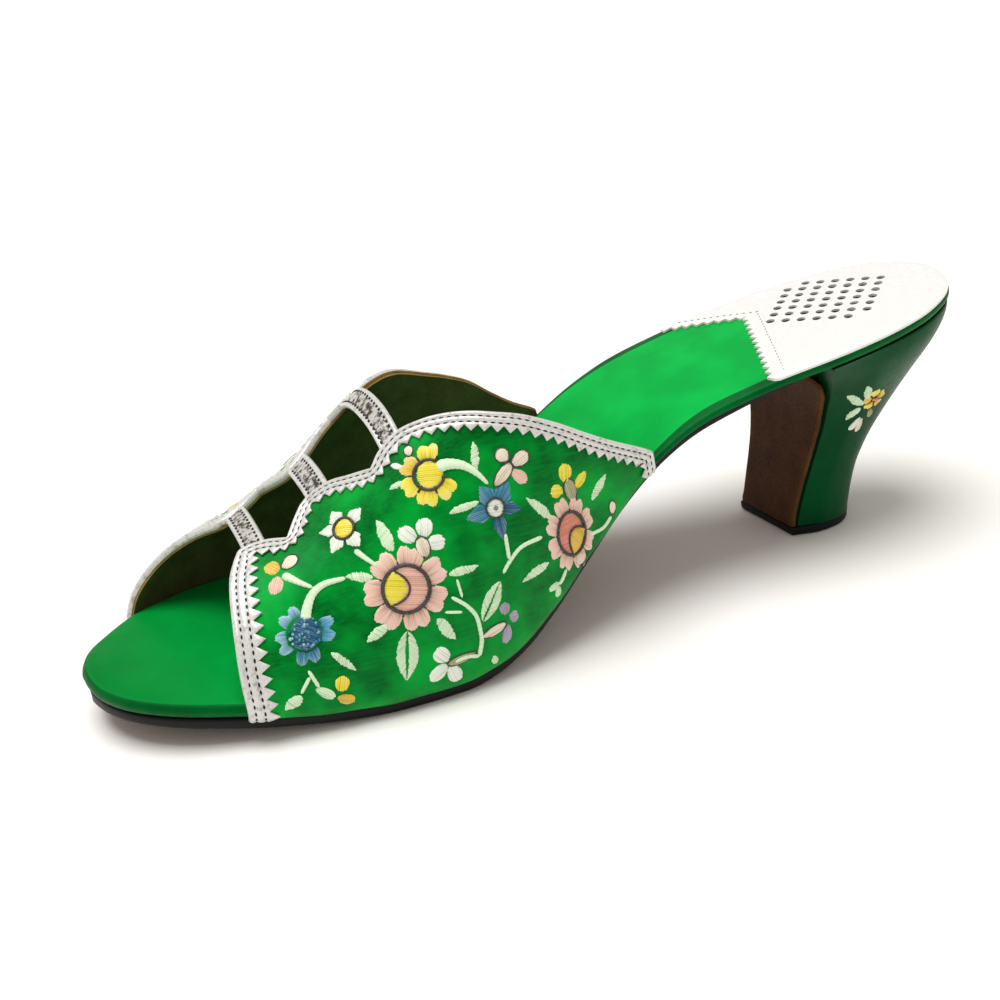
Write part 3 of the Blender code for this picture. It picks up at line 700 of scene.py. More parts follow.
def heel_plan(share, half, front):
    """Half width of the heel from its back (0) to its breast (1): round behind, then straight."""
    full = (1.0 - np.clip(1.0 - share / 0.7, 0.0, 1.0) ** 2.4) ** (1.0 / 2.4)
    return half * full + (front - half) * np.clip((share - 0.7) / 0.3, 0.0, 1.0)


def heel_skin(u, v):
    """Outside of the heel: u from back (0) to breast (1), negative on the outer side, v is the level."""
    u, v = np.broadcast_arrays(np.asarray(u, float), np.asarray(v, float))
    level = np.linspace(0.0, 1.0, len(HEEL))
    row = {name: smooth(v, level, HEL[name]) for name in HEEL_COLUMNS}
    share, go = np.abs(u), np.clip(v, 0.0, 1.0)
    s = row["back"] + (row["breast"] - row["back"]) * share
    width = heel_plan(share, row["half_width"], row["breast_half_width"])
    # Near the seat the heel takes on the insole's outline and slope.
    seat = np.where(u > 0, half_width(s, "medial", 0.5), half_width(s, "lateral", 0.5))
    across = np.sign(u) * np.maximum(width * (1.0 - go ** 6) + seat * go ** 6, 0.0)
    z = row["back_height"] + (row["breast_height"] - row["back_height"]) * share
    z = z + (sole_top(s) - z) * go ** 10
    return spot(skewed(s, across, z), across, z)


def make_outsole():
    """Sole from the toe to the heel, then carried down the breast: black inked edge, brown leather face."""
    along = [s for s in stations(150)[::-1] if SOLE_BEND < s < TOE_END - SOLE_INSET_TOE]
    inner = [(s, float(sole_top(s))) for s in along]
    seat = float(sole_top(56.0))
    line = np.column_stack((HEL["breast"], HEL["breast_height"]))
    level = np.linspace(0.0, 1.0, len(line))
    fine = np.linspace(1.0, 0.0, 60)
    face = np.column_stack((smooth(fine, level, line[:, 0]) + GAP, smooth(fine, level, line[:, 1])))
    face = [tuple(p) for p in face if p[1] < BREAST_TOP]
    # Points of the tight bend from the sole into the breast.
    bend = [(54.6, seat - 0.2), (51.8, seat - 1.2), (50.0, 46.4)]
    corner = spline([inner[-3], inner[-1]] + bend + [face[0], face[4]], 10)[10:-10]
    foot_end = (face[-1][0], LIFT_SHOWN + HEM_RISE)
    path = np.array(inner[:-1] + [tuple(p) for p in corner] + face[1:] + [foot_end])
    tangent = unit(np.gradient(path, axis=0))
    rings, paints = [], []
    for (s, z), t in zip(path, tangent):
        if s > SOLE_BEND:
            thick = float(sole_top(s) - sole_bottom(s)) + SEAM_CLOSE
            z += SEAM_CLOSE
            waist = 1.0 - float(blend(s, *WAIST_RUN))
            inset = SOLE_INSET_TOE + (SOLE_INSET_WAIST - SOLE_INSET_TOE) * waist
            inset += SOLE_INSET_WAIST * (1.0 - float(blend(s, SOLE_BEND, 82.0)))
            medial, lateral = float(half_width(s, "medial", inset)), float(half_width(s, "lateral", inset))
            under = np.array((0.0, -1.0))
        else:
            thick = BREAST_LEATHER
            side = float(np.interp(z, HEL["breast_height"], HEL["breast_half_width"])) - 0.5
            side = min(side, BREAST_SIDE) - 2.4 * float(blend(z, 42.0, 46.8)) ** 1.5
            medial = lateral = side + (22.0 - side) * float(blend(s, 51.5, SOLE_BEND))
            under = np.array((-t[1], t[0]))
        centre, half = 0.5 * (medial - lateral), max(0.5 * (medial + lateral), 0.3)
        nib = min(0.3 * thick, 0.5 * half)
        turn = np.linspace(0.0, 0.5 * math.pi, 5)
        upper_edge = [(half - nib + nib * math.sin(q), nib - nib * math.cos(q)) for q in turn]
        lower_edge = [(half - nib + nib * math.cos(q), thick - nib + nib * math.sin(q)) for q in turn]
        side = upper_edge + lower_edge
        flat = half - nib
        border = min(1.0, 0.3 * flat)
        across = [(x, thick) for x in np.linspace(flat - border, border - flat, 7)]
        other = [(-x, d) for x, d in reversed(side)]
        over = [(x, 0.0) for x in np.linspace(nib - half, half - nib, 5)[1:-1]]
        section = np.array(side + across + other + over)
        a, h = s + under[0] * section[:, 1], z + under[1] * section[:, 1]
        if s < SOLE_BEND:
            a = skewed(a, section[:, 0], h)
        rings.append(spot(a, centre + section[:, 0], np.maximum(h, 0.0)))
        edge = 0 if s > SOLE_BEND - 4.0 else 2
        top = edge == 2 and z > 45.0
        band = 2 if edge == 2 else 1
        paints.append([edge] * 9 + [band] + [2 if top else 1] * 6 + [band] + [edge] * 9 + [0] * 4)
    piece = Piece()
    piece.tube(np.array(rings), np.array(paints[:-1]))
    brown = colour_of("breast")
    # Ink burnished into the sole's edge: near black, with a low wax shine.
    inked = tanned_leather("inked_leather_edge", linear("060505"), linear("0E0C0B"), 0.5, 0.45, 0.15)
    # Sole leather, rolled hard and waxed: an even dark brown that hardly shines.
    tread = tanned_leather("waxed_sole_leather", brown, shade(brown, 1.5), 0.6, 0.62)
    # The cut edge of the breast leather is left undyed, so it shows a warm orange brown.
    raw = tanned_leather("undyed_leather_edge", linear("4A2F12"), linear("5E3F19"), 0.5, 0.65)
    piece.make("sole_and_breast", (inked, tread, raw), "sole_leather", "outsole", 50.0)


def make_insole():
    """Padded insole in loops round its outline: domed top, rounded rim, satin drawn round the edge."""
    s = stations(260)
    centre, half = insole_sides(s)
    loop = np.vstack((np.column_stack((s, centre + half)), np.column_stack((s, centre - half))[-2:0:-1]))
    run = run_length(np.vstack((loop, loop[:1])))
    even = np.linspace(0.0, run[-1], 420, endpoint=False)
    loop = along_line(np.vstack((loop, loop[:1])), run, even)
    ahead = unit(np.roll(loop, -2, axis=0) - np.roll(loop, 2, axis=0))
    inward = np.column_stack((ahead[:, 1], -ahead[:, 0]))
    thick = insole_top(loop[:, 0]) - insole_bottom(loop[:, 0])
    # The loops close in on a line along the middle, which stops short of both round ends.
    spine_along = np.clip(loop[:, 0], HEEL_END + 22.0, TOE_END - 24.0)
    spine = np.column_stack((spine_along, insole_sides(spine_along)[0]))
    shoulder = loop + inward * 0.5 * thick[:, None]
    shares = (0.06, 0.3, 0.55, 0.78, 0.92)
    rings, paints = [], []
    for share in shares:
        # The last loop runs out to the shoulder before the panels, which tapers the band of painted shade
        # there.
        reach = share + (share > 0.9) * 0.075 * blend(loop[:, 0], 78.0, 110.0)
        flat = spine + (shoulder - spine) * reach[:, None]
        rings.append(spot(flat[:, 0], flat[:, 1], insole_crown(flat[:, 0], flat[:, 1])))
        # At the waist and seat the rim's shoulder also gets the rim's painted shade.
        paints.append((share > 0.9) & (loop[:, 0] < PAINTED_RIM_SHADE_END))
    # Below its crest the rim gets the painted shade all round, and behind the waist the whole rim does.
    for turn in np.linspace(90.0, -90.0, 13):
        c, q = math.cos(math.radians(turn)), math.sin(math.radians(turn))
        flat = loop + inward * (0.5 * thick * (1.0 - c))[:, None]
        top, bottom = insole_top(flat[:, 0]), insole_bottom(flat[:, 0])
        height = 0.5 * (top + bottom) + 0.5 * (top - bottom) * q - CROWN * max(q, 0.0)
        rings.append(spot(flat[:, 0], flat[:, 1], height))
        paints.append((turn < 70.0) | (loop[:, 0] < PAINTED_RIM_SHADE_END))
    for share in shares[::-1]:
        flat = spine + (shoulder - spine) * share
        rings.append(spot(flat[:, 0], flat[:, 1], insole_bottom(flat[:, 0])))
        paints.append(loop[:, 0] > 0.0)
    count, rows = len(loop), len(rings)
    faces = quads_of(rows, count, True)
    paint = list(np.array(paints[:-1]).astype(int).ravel())
    # Both ends of the row of loops are slits along the middle, closed from side to side.
    for first, colour in ((0, 0), ((rows - 1) * count, 1)):
        faces += [(first + i, first + i + 1, first + count - 1 - i, first + (count - i) % count)
                  for i in range(1, count // 2 - 1)]
        paint += [colour] * (count // 2 - 2)
        faces += [(first, first + 1, first + count - 1), tuple(first + count // 2 + i for i in (-1, 0, 1))]
        paint += [colour] * 2
    piece = Piece()
    piece.add(np.array(rings), faces, paint)
    # Satin over thin padding: bright green, smooth, with faint painted sheen streaks from heel to toe,
    # faint painted clouds of light and shade, and painted shade towards the toe.
    satin = woven_satin("padded_insole_satin", colour_of("insole"), (1.0, 0.05, 1.0), 0.2, 0.42, 0.07,
                        (-40.0, -125.0, 0.42))
    # Painted shade: the rim and the underside get a deeper green satin.
    turned = woven_satin("turned_under_satin", colour_of("rim"), (1.0, 0.05, 1.0), 0.4, 0.42, 0.2)
    made = piece.make("insole_padded", (satin, turned), "insole_satin", "insole")


def make_heel():
    """Curved heel block covered in satin."""
    levels = np.linspace(0.0, 1.0, 60)
    share = HEEL_SHARES.copy()
    share[-1] = 1e-6
    u = np.concatenate((share, -share[-2::-1]))
    rings = [heel_skin(u, np.full(len(u), v)) for v in levels]
    # The cover is drawn down over the top of the lift.
    hem = rings[0].copy()
    hem[:, 2] = LIFT_SHOWN + HEM_RISE
    piece = Piece()
    piece.tube(np.array([hem] + rings))
    # Satin glued tight round the block: dark green, with long painted sheen streaks down each side and
    # painted clouds of light and shade.
    satin = woven_satin("heel_cover_satin", colour_of("heel"), (1.0, 1.0, 0.06), 0.35, 0.36, 0.25)
    piece.make("heel_satin_cover", (satin,), "heel_satin", "heel", 40.0)


def make_top_piece():
    """Lift under the heel: black rubber with a slightly rounded, scuffed edge."""
    back, breast = HEL["back"][0], HEL["breast"][0] + GAP + BREAST_LEATHER
    along = back + (breast - back) * HEEL_SHARES
    across = heel_plan(HEEL_SHARES, HEL["half_width"][0], HEL["breast_half_width"][0])
    ring = np.column_stack((np.append(along, along[-2::-1]), np.append(across, -across[-2::-1])))
    centre = np.array((0.5 * (back + breast), 0.0))
    rings = []
    for z, grow in LIFT_PROFILE:
        flat = centre + (ring - centre) * grow
        rings.append(spot(skewed(flat[:, 0], flat[:, 1], z), flat[:, 1], z))
    piece = Piece()
    piece.tube(np.array(rings))
    # Moulded rubber, scuffed at the edge: black and dull, with a fine uneven grain.
    rubber = tanned_leather("moulded_lift_rubber", linear("050505"), linear("0D0C0C"), 0.35, 0.5, 0.1)
    piece.make("heel_lift", (rubber,), "lift_rubber", "top_piece", 50.0)


def pick(side):
    """Places of a side's along and angle in the tables of panel edges."""
    return (0, 1) if side == "medial" else (2, 3)


def scallop_path(side):
    """Along and angle of a panel's top edge, the angle from that side's sole edge."""
    i, j = pick(side)
    runs = [spline([(row[i], row[j]) for row in run], 24) for run in SCALLOPS]
    return np.vstack([run[:-1] for run in runs[:-1]] + [runs[-1]])


def front_path(side):
    """Along and angle of a panel's front edge, from the sole up."""
    i, j = pick(side)
    return spline([(row[i], row[j]) for row in FRONT_EDGE], 24)


def edge_angle(side, along):
    """Angle of a panel's top edge at an along-value."""
    path = scallop_path(side)[::-1]
    return np.interp(along, path[:, 0], path[:, 1])


def panel_skin(side):
    """A side's outer surface, with angles from its own sole edge."""
    return foot if side == "medial" else lambda along, angle: foot(along, 180.0 - np.asarray(angle, float))


def panel_grid(side, rows=46, step=0.9):
    """Along and angle of every point of one panel, blended between its four edges."""
    skin = panel_skin(side)
    front = front_path(side)
    top = scallop_path(side)
    run = run_length(skin(top[:, 0], top[:, 1]))
    even = np.linspace(0.0, run[-1], int(run[-1] / step))
    top = along_line(top, run, even)
    reach = run_length(front)
    r = np.linspace(0.0, 1.0, rows) ** 1.15
    edge = along_line(front, reach, r * reach[-1])
    straight = front[0] + (top[0] - front[0]) * r[:, None]
    t = (top[0, 0] - top[:, 0]) / (top[0, 0] - top[-1, 0])
    fade = ((1.0 - t) ** 3)[:, None]
    feet = front[0, 0] + (REAR_TIP[pick(side)[0]] - front[0, 0]) * t
    along = feet[:, None] + (top[:, 0] - feet)[:, None] * r + (edge[:, 0] - straight[:, 0]) * fade
    angle = top[:, 1][:, None] * r + (edge[:, 1] - straight[:, 1]) * fade
    return along, np.maximum(angle, 0.0)


def make_panels():
    """Both side panels: satin outside, dark lining inside, and a tan cut edge between them."""
    depth = sizes()["lining_depth"]
    piece = Piece()
    for side, out in (("medial", 1.0), ("lateral", -1.0)):
        skin = panel_skin(side)
        along, angle = panel_grid(side)
        normal = slopes(skin, along, angle)[2] * out
        # Satin stretched over a shaped backing never lies quite even.
        ripple = 0.07 * np.sin(along * 0.41 + angle * 0.12)
        ripple += 0.05 * np.sin(along * 0.23 - angle * 0.21 + 1.3)
        outer = skin(along, angle) + normal * ripple[..., None]
        inner = skin(along, angle) - normal * depth
        piece.shell(outer, inner, (0, 1, 2))
    # Satin left as woven and pulled by the needle: green with strong painted sheen streaks, pale painted
    # glints and painted clouds of light and shade.
    satin = woven_satin("embroidery_ground_satin", colour_of("panel"), (1.0, 0.05, 1.0), 1.0, 0.38, 0.4)
    # Thin skin, glazed under a roller: a dark olive brown with a low shine.
    lining = tanned_leather("glazed_lining", colour_of("lining"), linear("625D3E"), 0.6, 0.5)
    # The lining leather's cut edge is raw, so a thin tan line shows round the throat.
    tan = tanned_leather("raw_lining_edge", linear("8A6A34"), linear("A98A50"), 0.5, 0.55)
    piece.make("satin_panels", (satin, lining, tan), "panel_satin", "upper", 45.0)


def inset_rows(side, reach=7.0, step=0.5):
    """Rows of along and angle at even distances in from a panel's edge, rounded where it turns sharply."""
    skin = panel_skin(side)
    out = 1.0 if side == "medial" else -1.0
    tip = np.array([[REAR_TIP[k] for k in pick(side)]])
    path = np.vstack((front_path(side)[:-1], scallop_path(side), tip))
    run = run_length(skin(path[:, 0], path[:, 1]))
    even = np.arange(0.0, run[-1], 0.35)
    a, b = (np.interp(even, run, path[:, k]) for k in (0, 1))
    kernel = np.array((1.0, 2.0, 3.0, 2.0, 1.0)) / 9.0

    def ease(values):
        """Values evened out with their neighbours."""
        padded = np.pad(values, 2, mode="reflect", reflect_type="odd")
        return np.convolve(padded, kernel, mode="valid")

    tangent = np.gradient(skin(a, b), axis=0)
    for _ in range(2):
        tangent = np.column_stack([ease(tangent[:, k]) for k in range(3)])
    normal = slopes(skin, a, b)[2] * out
    inward = unit(np.cross(tangent, normal)) * out
    rows = [(a, b)]
    for _ in range(int(reach / step)):
        da, db = slopes(skin, a, b)[:2]
        more_a, more_b = measures(da, db, inward * step)
        a, b = ease(a + more_a), np.maximum(ease(b + more_b), 0.0)
        rows.append((a, b))
    return skin, out, inward, even, np.array(rows), step


def row_at(rows, step, inset):
    """Along and angle at one distance from the edge, between two rows."""
    k = min(int(inset / step), len(rows) - 2)
    return rows[k] + (rows[k + 1] - rows[k]) * (inset / step - k)


def lay_stitches(piece, points, normal, paint, length=1.15, width=0.72):
    """Short sunk stitches of dark thread along a line of points on a surface."""
    run = run_length(points)
    pitch = sizes()["stitch_pitch"]
    places = np.arange(0.5 * pitch, run[-1] - 0.4 * pitch, pitch)
    centre = along_line(points, run, places)
    ahead = unit(along_line(points, run, places + 0.3) - centre)
    up = unit(along_line(normal, run, places))
    side = np.cross(up, ahead)
    turn = np.linspace(0.0, 2.0 * math.pi, 8, endpoint=False)
    for c, t, s, n in zip(centre, ahead, side, up):
        oval = 0.5 * (np.outer(np.cos(turn), t) * length + np.outer(np.sin(turn), s) * width)
        rings = [c + lift * n + grow * oval for grow, lift in ((0.9, -0.16), (1.0, 0.0), (0.62, 0.11))]
        piece.tube(np.array(rings), paint)


def make_trim():
    """Silver leather trim with a rolled edge, two rows of stitches and pinked teeth, round both panels."""
    size = sizes()
    piece = Piece()
    for side in ("medial", "lateral"):
        skin, out, inward, even, rows, step = inset_rows(side)
        root = row_at(rows, step, TOOTH_ROOT)
        inner_run = run_length(skin(*root))
        teeth = round(inner_run[-1] / size["tooth_pitch"])
        phase = np.linspace(0.0, teeth, 8 * teeth + 1)
        where = np.interp(phase / teeth * inner_run[-1], inner_run, even)
        bite = 1.0 - np.abs(2.0 * (phase % 1.0) - 1.0)
        # The strip is cut narrower over the instep than down the front.
        front = front_path(side)
        front_run = run_length(skin(front[:, 0], front[:, 1]))[-1]
        slim = 1.0 - 0.33 * blend(where, front_run - 4.0, front_run + 8.0)
        tip = TOOTH_ROOT + size["tooth_depth"] * bite

        def on_rows(inset, lift):
            """Points of the trim at a distance from the edge, and the surface's normals there."""
            inset = np.broadcast_to(inset, where.shape) * slim
            k = np.clip((inset / step).astype(int), 0, len(rows) - 2)
            f = inset / step - k
            cols = [np.array([np.interp(where, even, row[m]) for row in rows]) for m in (0, 1)]
            at = np.arange(len(where))
            a, b = (c[k, at] + (c[k + 1, at] - c[k, at]) * np.maximum(f, 0.0) for c in cols)
            normal = slopes(skin, a, b)[2] * out
            toward = along_line(inward, even, where) * np.minimum(inset, 0.0)[:, None]
            return skin(a, b) + normal * np.asarray(lift)[..., None] + toward, normal

        lines = [on_rows(d, h)[0] for d, h in TRIM_PROFILE]
        lines += [on_rows(tip - 0.2, 0.6 + 0.08 * bite)[0], on_rows(tip, 0.5 + 0.1 * bite)[0]]
        lines += [on_rows(tip, 0.2 + 0.12 * bite)[0], on_rows(3.9, 0.06)[0], on_rows(0.5, 0.06)[0]]
        paint = np.zeros((len(where) - 1, len(lines)), int)
        behind = np.interp(where[:-1], even, rows[0, 0]) < STRAPS[2][1]
        paint[np.ix_(behind, (0, 1))] = 2
        piece.tube(np.stack(lines, axis=1), paint)
        for inset in STITCH_LINES:
            points, normal = on_rows(inset, 0.42)
            lay_stitches(piece, points, normal, 1)
    # Foil pressed on kid and rubbed by wear: bright, with grey patches and creases.
    silver = foiled_leather("silver_foiled_kid_trim", colour_of("silver"), 0.5, 0.9, 0.25, 0.53, "55514A")
    # Waxed linen thread: almost black, dull, sunk in the leather.
    thread = laid_floss("waxed_linen_thread", linear("1A1512"))
    # Behind the straps the strip is not turned over the edge, so the lining's raw edge shows inside.
    tan = tanned_leather("raw_trim_edge", linear("6B5128"), linear("8E6E3C"), 0.5, 0.55)
    piece.make("silver_trim", (silver, thread, tan), sharp=55.0)


def make_straps():
    """Three silver leather straps over the instep, stitched along both edges."""
    piece = Piece()
    q, lift = np.array(STRAP_PROFILE).T
    across = np.concatenate((q, -q[-2::-1]))
    height = np.concatenate((lift, lift[-2::-1]))
    for front, rear in STRAPS:
        middle, half = 0.5 * (front + rear), 0.5 * (front - rear)
        t = np.linspace(-0.1, 1.1, 60)

        def over(spread, at):
            """Along and angle across and along the strap."""
            along = middle + half * np.asarray(spread, float)
            near, far = edge_angle("medial", along), 180.0 - edge_angle("lateral", along)
            return np.broadcast_to(along, np.shape(near + at)), near + (far - near) * at

        grid = [over(across, k) for k in t]
        a, b = np.array([g[0] for g in grid]), np.array([g[1] for g in grid])
        normal = slopes(foot, a, b)[2]
        worn = [2 if abs(x) < 0.55 else 0 for x in across]
        piece.tube(foot(a, b) + normal * height[None, :, None], np.tile(worn, (len(t) - 1, 1)))
        for line in (-0.6, 0.6):
            a, b = over(np.full(60, line), np.linspace(0.01, 0.99, 60))
            normal = slopes(foot, a, b)[2]
            lay_stitches(piece, foot(a, b) + normal * 0.24, normal, 1)
    # Foil pressed on thin leather: bright along the stitched edges, where it is little rubbed.
    silver = foiled_leather("silver_foiled_strap_leather", colour_of("silver"), 0.35, 0.7, 0.25)
    # Waxed thread: dull and almost black against the foil.
    thread = laid_floss("waxed_strap_thread", linear("1A1512"))
    # Bending has cracked the foil along the middle of each strap, so the grey leather shows through.
    cracked = foiled_leather("cracked_foil_strap_leather", linear("DAD8D2"), 1.0, 0.8, 0.3, 0.44, "37332B")
    piece.make("instep_straps", (silver, thread, cracked), sharp=55.0)


def sock_outline(pitch, depth):
    """Outline of the heel sock: pinked in front, then round the seat just inside the insole's rim."""
    near, corner, far = (np.array(p) for p in SOCK_FRONT)
    marks = []
    for start, end in ((near, corner), (corner, far)):
        run = end - start
        length = np.linalg.norm(run)
        ahead = np.array((run[1], -run[0])) / length
        ahead = ahead if ahead[0] > 0 else -ahead
        count = max(2, round(length / pitch))
        for k in range(2 * count):
            marks.append(start + run * k / (2 * count) + ahead * depth * (k % 2))
    marks.append(far)
    line = []
    behind = SOCK_BACK + (SOCK_TURN - SOCK_BACK) * np.linspace(0.98, 0.0, 24) ** 2
    for side, sign, front in (("lateral", -1.0, far[0]), ("medial", 1.0, near[0])):
        s = np.concatenate((np.linspace(front, SOCK_TURN, 40), behind))
        line.append(np.column_stack((s, sign * np.maximum(half_width(s, side, SOCK_INSET), 0.0))))
    return np.vstack((np.array(marks), line[0][1:], line[1][-2:0:-1]))


def make_sock():
    """Thin silver leather sock on the heel seat, pinked in front, with a lozenge of punched dots."""
    size = sizes()
    rim = sock_outline(size["tooth_pitch"], SOCK_TOOTH)
    loops = [rim]
    mid_s, mid_w, long_half, wide_half = LOZENGE
    radius = 0.5 * size["dot"]
    turn = np.linspace(0.0, 2.0 * math.pi, 14, endpoint=False)
    circle = np.column_stack((np.cos(turn), np.sin(turn))) * radius
    dots = []
    for i in range(-6, 7):
        for j in range(-6, 7):
            s, w = 0.5 * DOT_STEP * (i + j), 0.5 * DOT_STEP * (i - j)
            share = (abs(s) / long_half) ** 1.6 + (abs(w) / wide_half) ** 1.6
            if share < 1.0:
                dots.append(np.array((mid_s + s, mid_w + w)))
    loops += [dot + circle for dot in dots]
    grid = [np.array((s, w)) for s in np.arange(4.0, 70.0, 1.3) for w in np.arange(-28.0, 28.0, 1.3)]
    inside = [p for p in grid if clear_of(p, rim, dots, radius)]
    verts = np.vstack(loops + [np.array(inside)])
    faces, start = [], 0
    for loop in loops:
        faces.append(list(range(start, start + len(loop))))
        start += len(loop)
    out = delaunay_2d_cdt([Vector(v) for v in verts], [], faces, 1, 1e-6)
    flat = np.array([tuple(v) for v in out[0]])
    triangles = []
    for face in out[2]:
        middle = flat[list(face)].mean(axis=0)
        if all(np.hypot(*(middle - dot)) > radius * 0.97 for dot in dots):
            triangles.append(tuple(face))
    s, w = flat[:, 0], flat[:, 1]
    # Soft creases where the sock has been pressed by the heel.
    fold = 0.16 * np.exp(-((w - 0.5 * (s - 30.0) - 6.0) / 1.4) ** 2) * blend(s, 12.0, 20.0)
    fold += 0.12 * np.exp(-((w + 0.9 * (s - 20.0) + 4.0) / 1.2) ** 2) * blend(s, 6.0, 14.0)
    base = insole_crown(s, w) + SOCK_LIFT
    top = base + size["sock_thickness"] + fold
    used = {}
    for face in triangles:
        for a, b in zip(face, face[1:] + face[:1]):
            used[(a, b)] = True
    border = [(a, b) for a, b in used if (b, a) not in used]
    count = len(flat)
    walls = [(b, a, a + count, b + count) for a, b in border]
    under = [tuple(i + count for i in reversed(face)) for face in triangles]
    piece = Piece()
    piece.add(np.vstack((spot(s, w, top), spot(s, w, base))), triangles + under + walls)
    near, corner, far = (np.array(p) for p in SOCK_FRONT)
    # A seam of small stitches runs 3 mm behind the pinked edge.
    seam = np.vstack((near + (corner - near) * np.linspace(0.03, 1.0, 40)[:, None],
                      corner + (far - corner) * np.linspace(0.03, 0.97, 24)[:, None]))
    along, across = seam[:, 0] - 3.0, seam[:, 1]
    line = spot(along, across, insole_crown(along, across) + SOCK_LIFT + size["sock_thickness"] + 0.03)
    lay_stitches(piece, line, np.broadcast_to(np.array((0.0, 0.12, 1.0)), line.shape), 1, 0.85, 0.22)
    # White leather under thin foil, pressed smooth by the heel: pale, with only a faint metal sheen.
    silver = foiled_leather("silver_foiled_sock_leather", colour_of("sock"), 0.0, 1.6, 0.08)
    # Spun thread: matt grey, a little darker than the foil.
    thread = laid_floss("grey_sock_thread", linear("8E8C86"))
    piece.make("heel_sock", (silver, thread), sharp=45.0)
    backing = Piece()
    s = np.linspace(mid_s - long_half - 2.0, mid_s + long_half + 2.0, 30)
    share = np.linspace(-1.0, 1.0, 20)
    taper = np.clip(1.15 - np.abs(s - mid_s) / (long_half + 4.0), 0.05, 1.0)
    across = mid_w + share[None, :] * (wide_half + 2.0) * taper[:, None]
    low = insole_crown(s[:, None], across) + 0.03
    backing.shell(spot(s[:, None], across, low + 0.14), spot(s[:, None], across, low), (0, 0, 0))
    # Flat black board laid under the punched dots, so that the dots show dark.
    board = tanned_leather("dark_backing_board", linear("050505"), linear("0A0908"), 0.5, 0.8)
    backing.make("sock_backing", (board,))


def clear_of(point, rim, dots, radius):
    """Whether a point lies well inside the sock's outline and off its dots."""
    nxt = np.roll(rim, -1, axis=0)
    cross = (rim[:, 1] > point[1]) != (nxt[:, 1] > point[1])
    with np.errstate(divide="ignore", invalid="ignore"):
        x = rim[:, 0] + (point[1] - rim[:, 1]) / (nxt[:, 1] - rim[:, 1]) * (nxt[:, 0] - rim[:, 0])
    if np.count_nonzero(cross & (x > point[0])) % 2 == 0:
        return False
    if np.hypot(*(rim - point).T).min() < 0.6:
        return False
    return all(np.hypot(*(dot - point)) > radius + 0.35 for dot in dots)


class Ground:
    """A curved surface to embroider on, with its own directions: towards the heel's back, and up."""

    def __init__(self, surface, out, step=0.05):
        self.surface, self.out, self.step = surface, out, step

    def axes(self, anchor):
        """Middle of a motif, and unit directions towards the back and up."""
        da, db = slopes(self.surface, *anchor, self.step)[:2]
        back = -unit(da)
        return self.surface(*anchor), back, unit(db - back * (db @ back))

    def flat(self, anchor, marks):
        """Flat millimetres about an anchor of marks given in the surface's own measures."""
        middle, back, up = self.axes(anchor)
        marks = np.array(marks, float)
        away = self.surface(marks[:, 0], marks[:, 1]) - middle
        return np.column_stack((away @ back, away @ up))

    def lay(self, anchor, flat, lift):
        """Points on the surface, lifted off it, for flat millimetres about an anchor."""
        middle, back, up = self.axes(anchor)
        goal = middle + flat[:, :1] * back + flat[:, 1:] * up
        a, b = np.full(len(flat), float(anchor[0])), np.full(len(flat), float(anchor[1]))
        for _ in range(5):
            da, db = slopes(self.surface, a, b, self.step)[:2]
            more_a, more_b = measures(da, db, goal - self.surface(a, b))
            a, b = a + more_a, b + more_b
        normal = slopes(self.surface, a, b, self.step)[2] * self.out
        return self.surface(a, b) + normal * np.asarray(lift)[:, None]


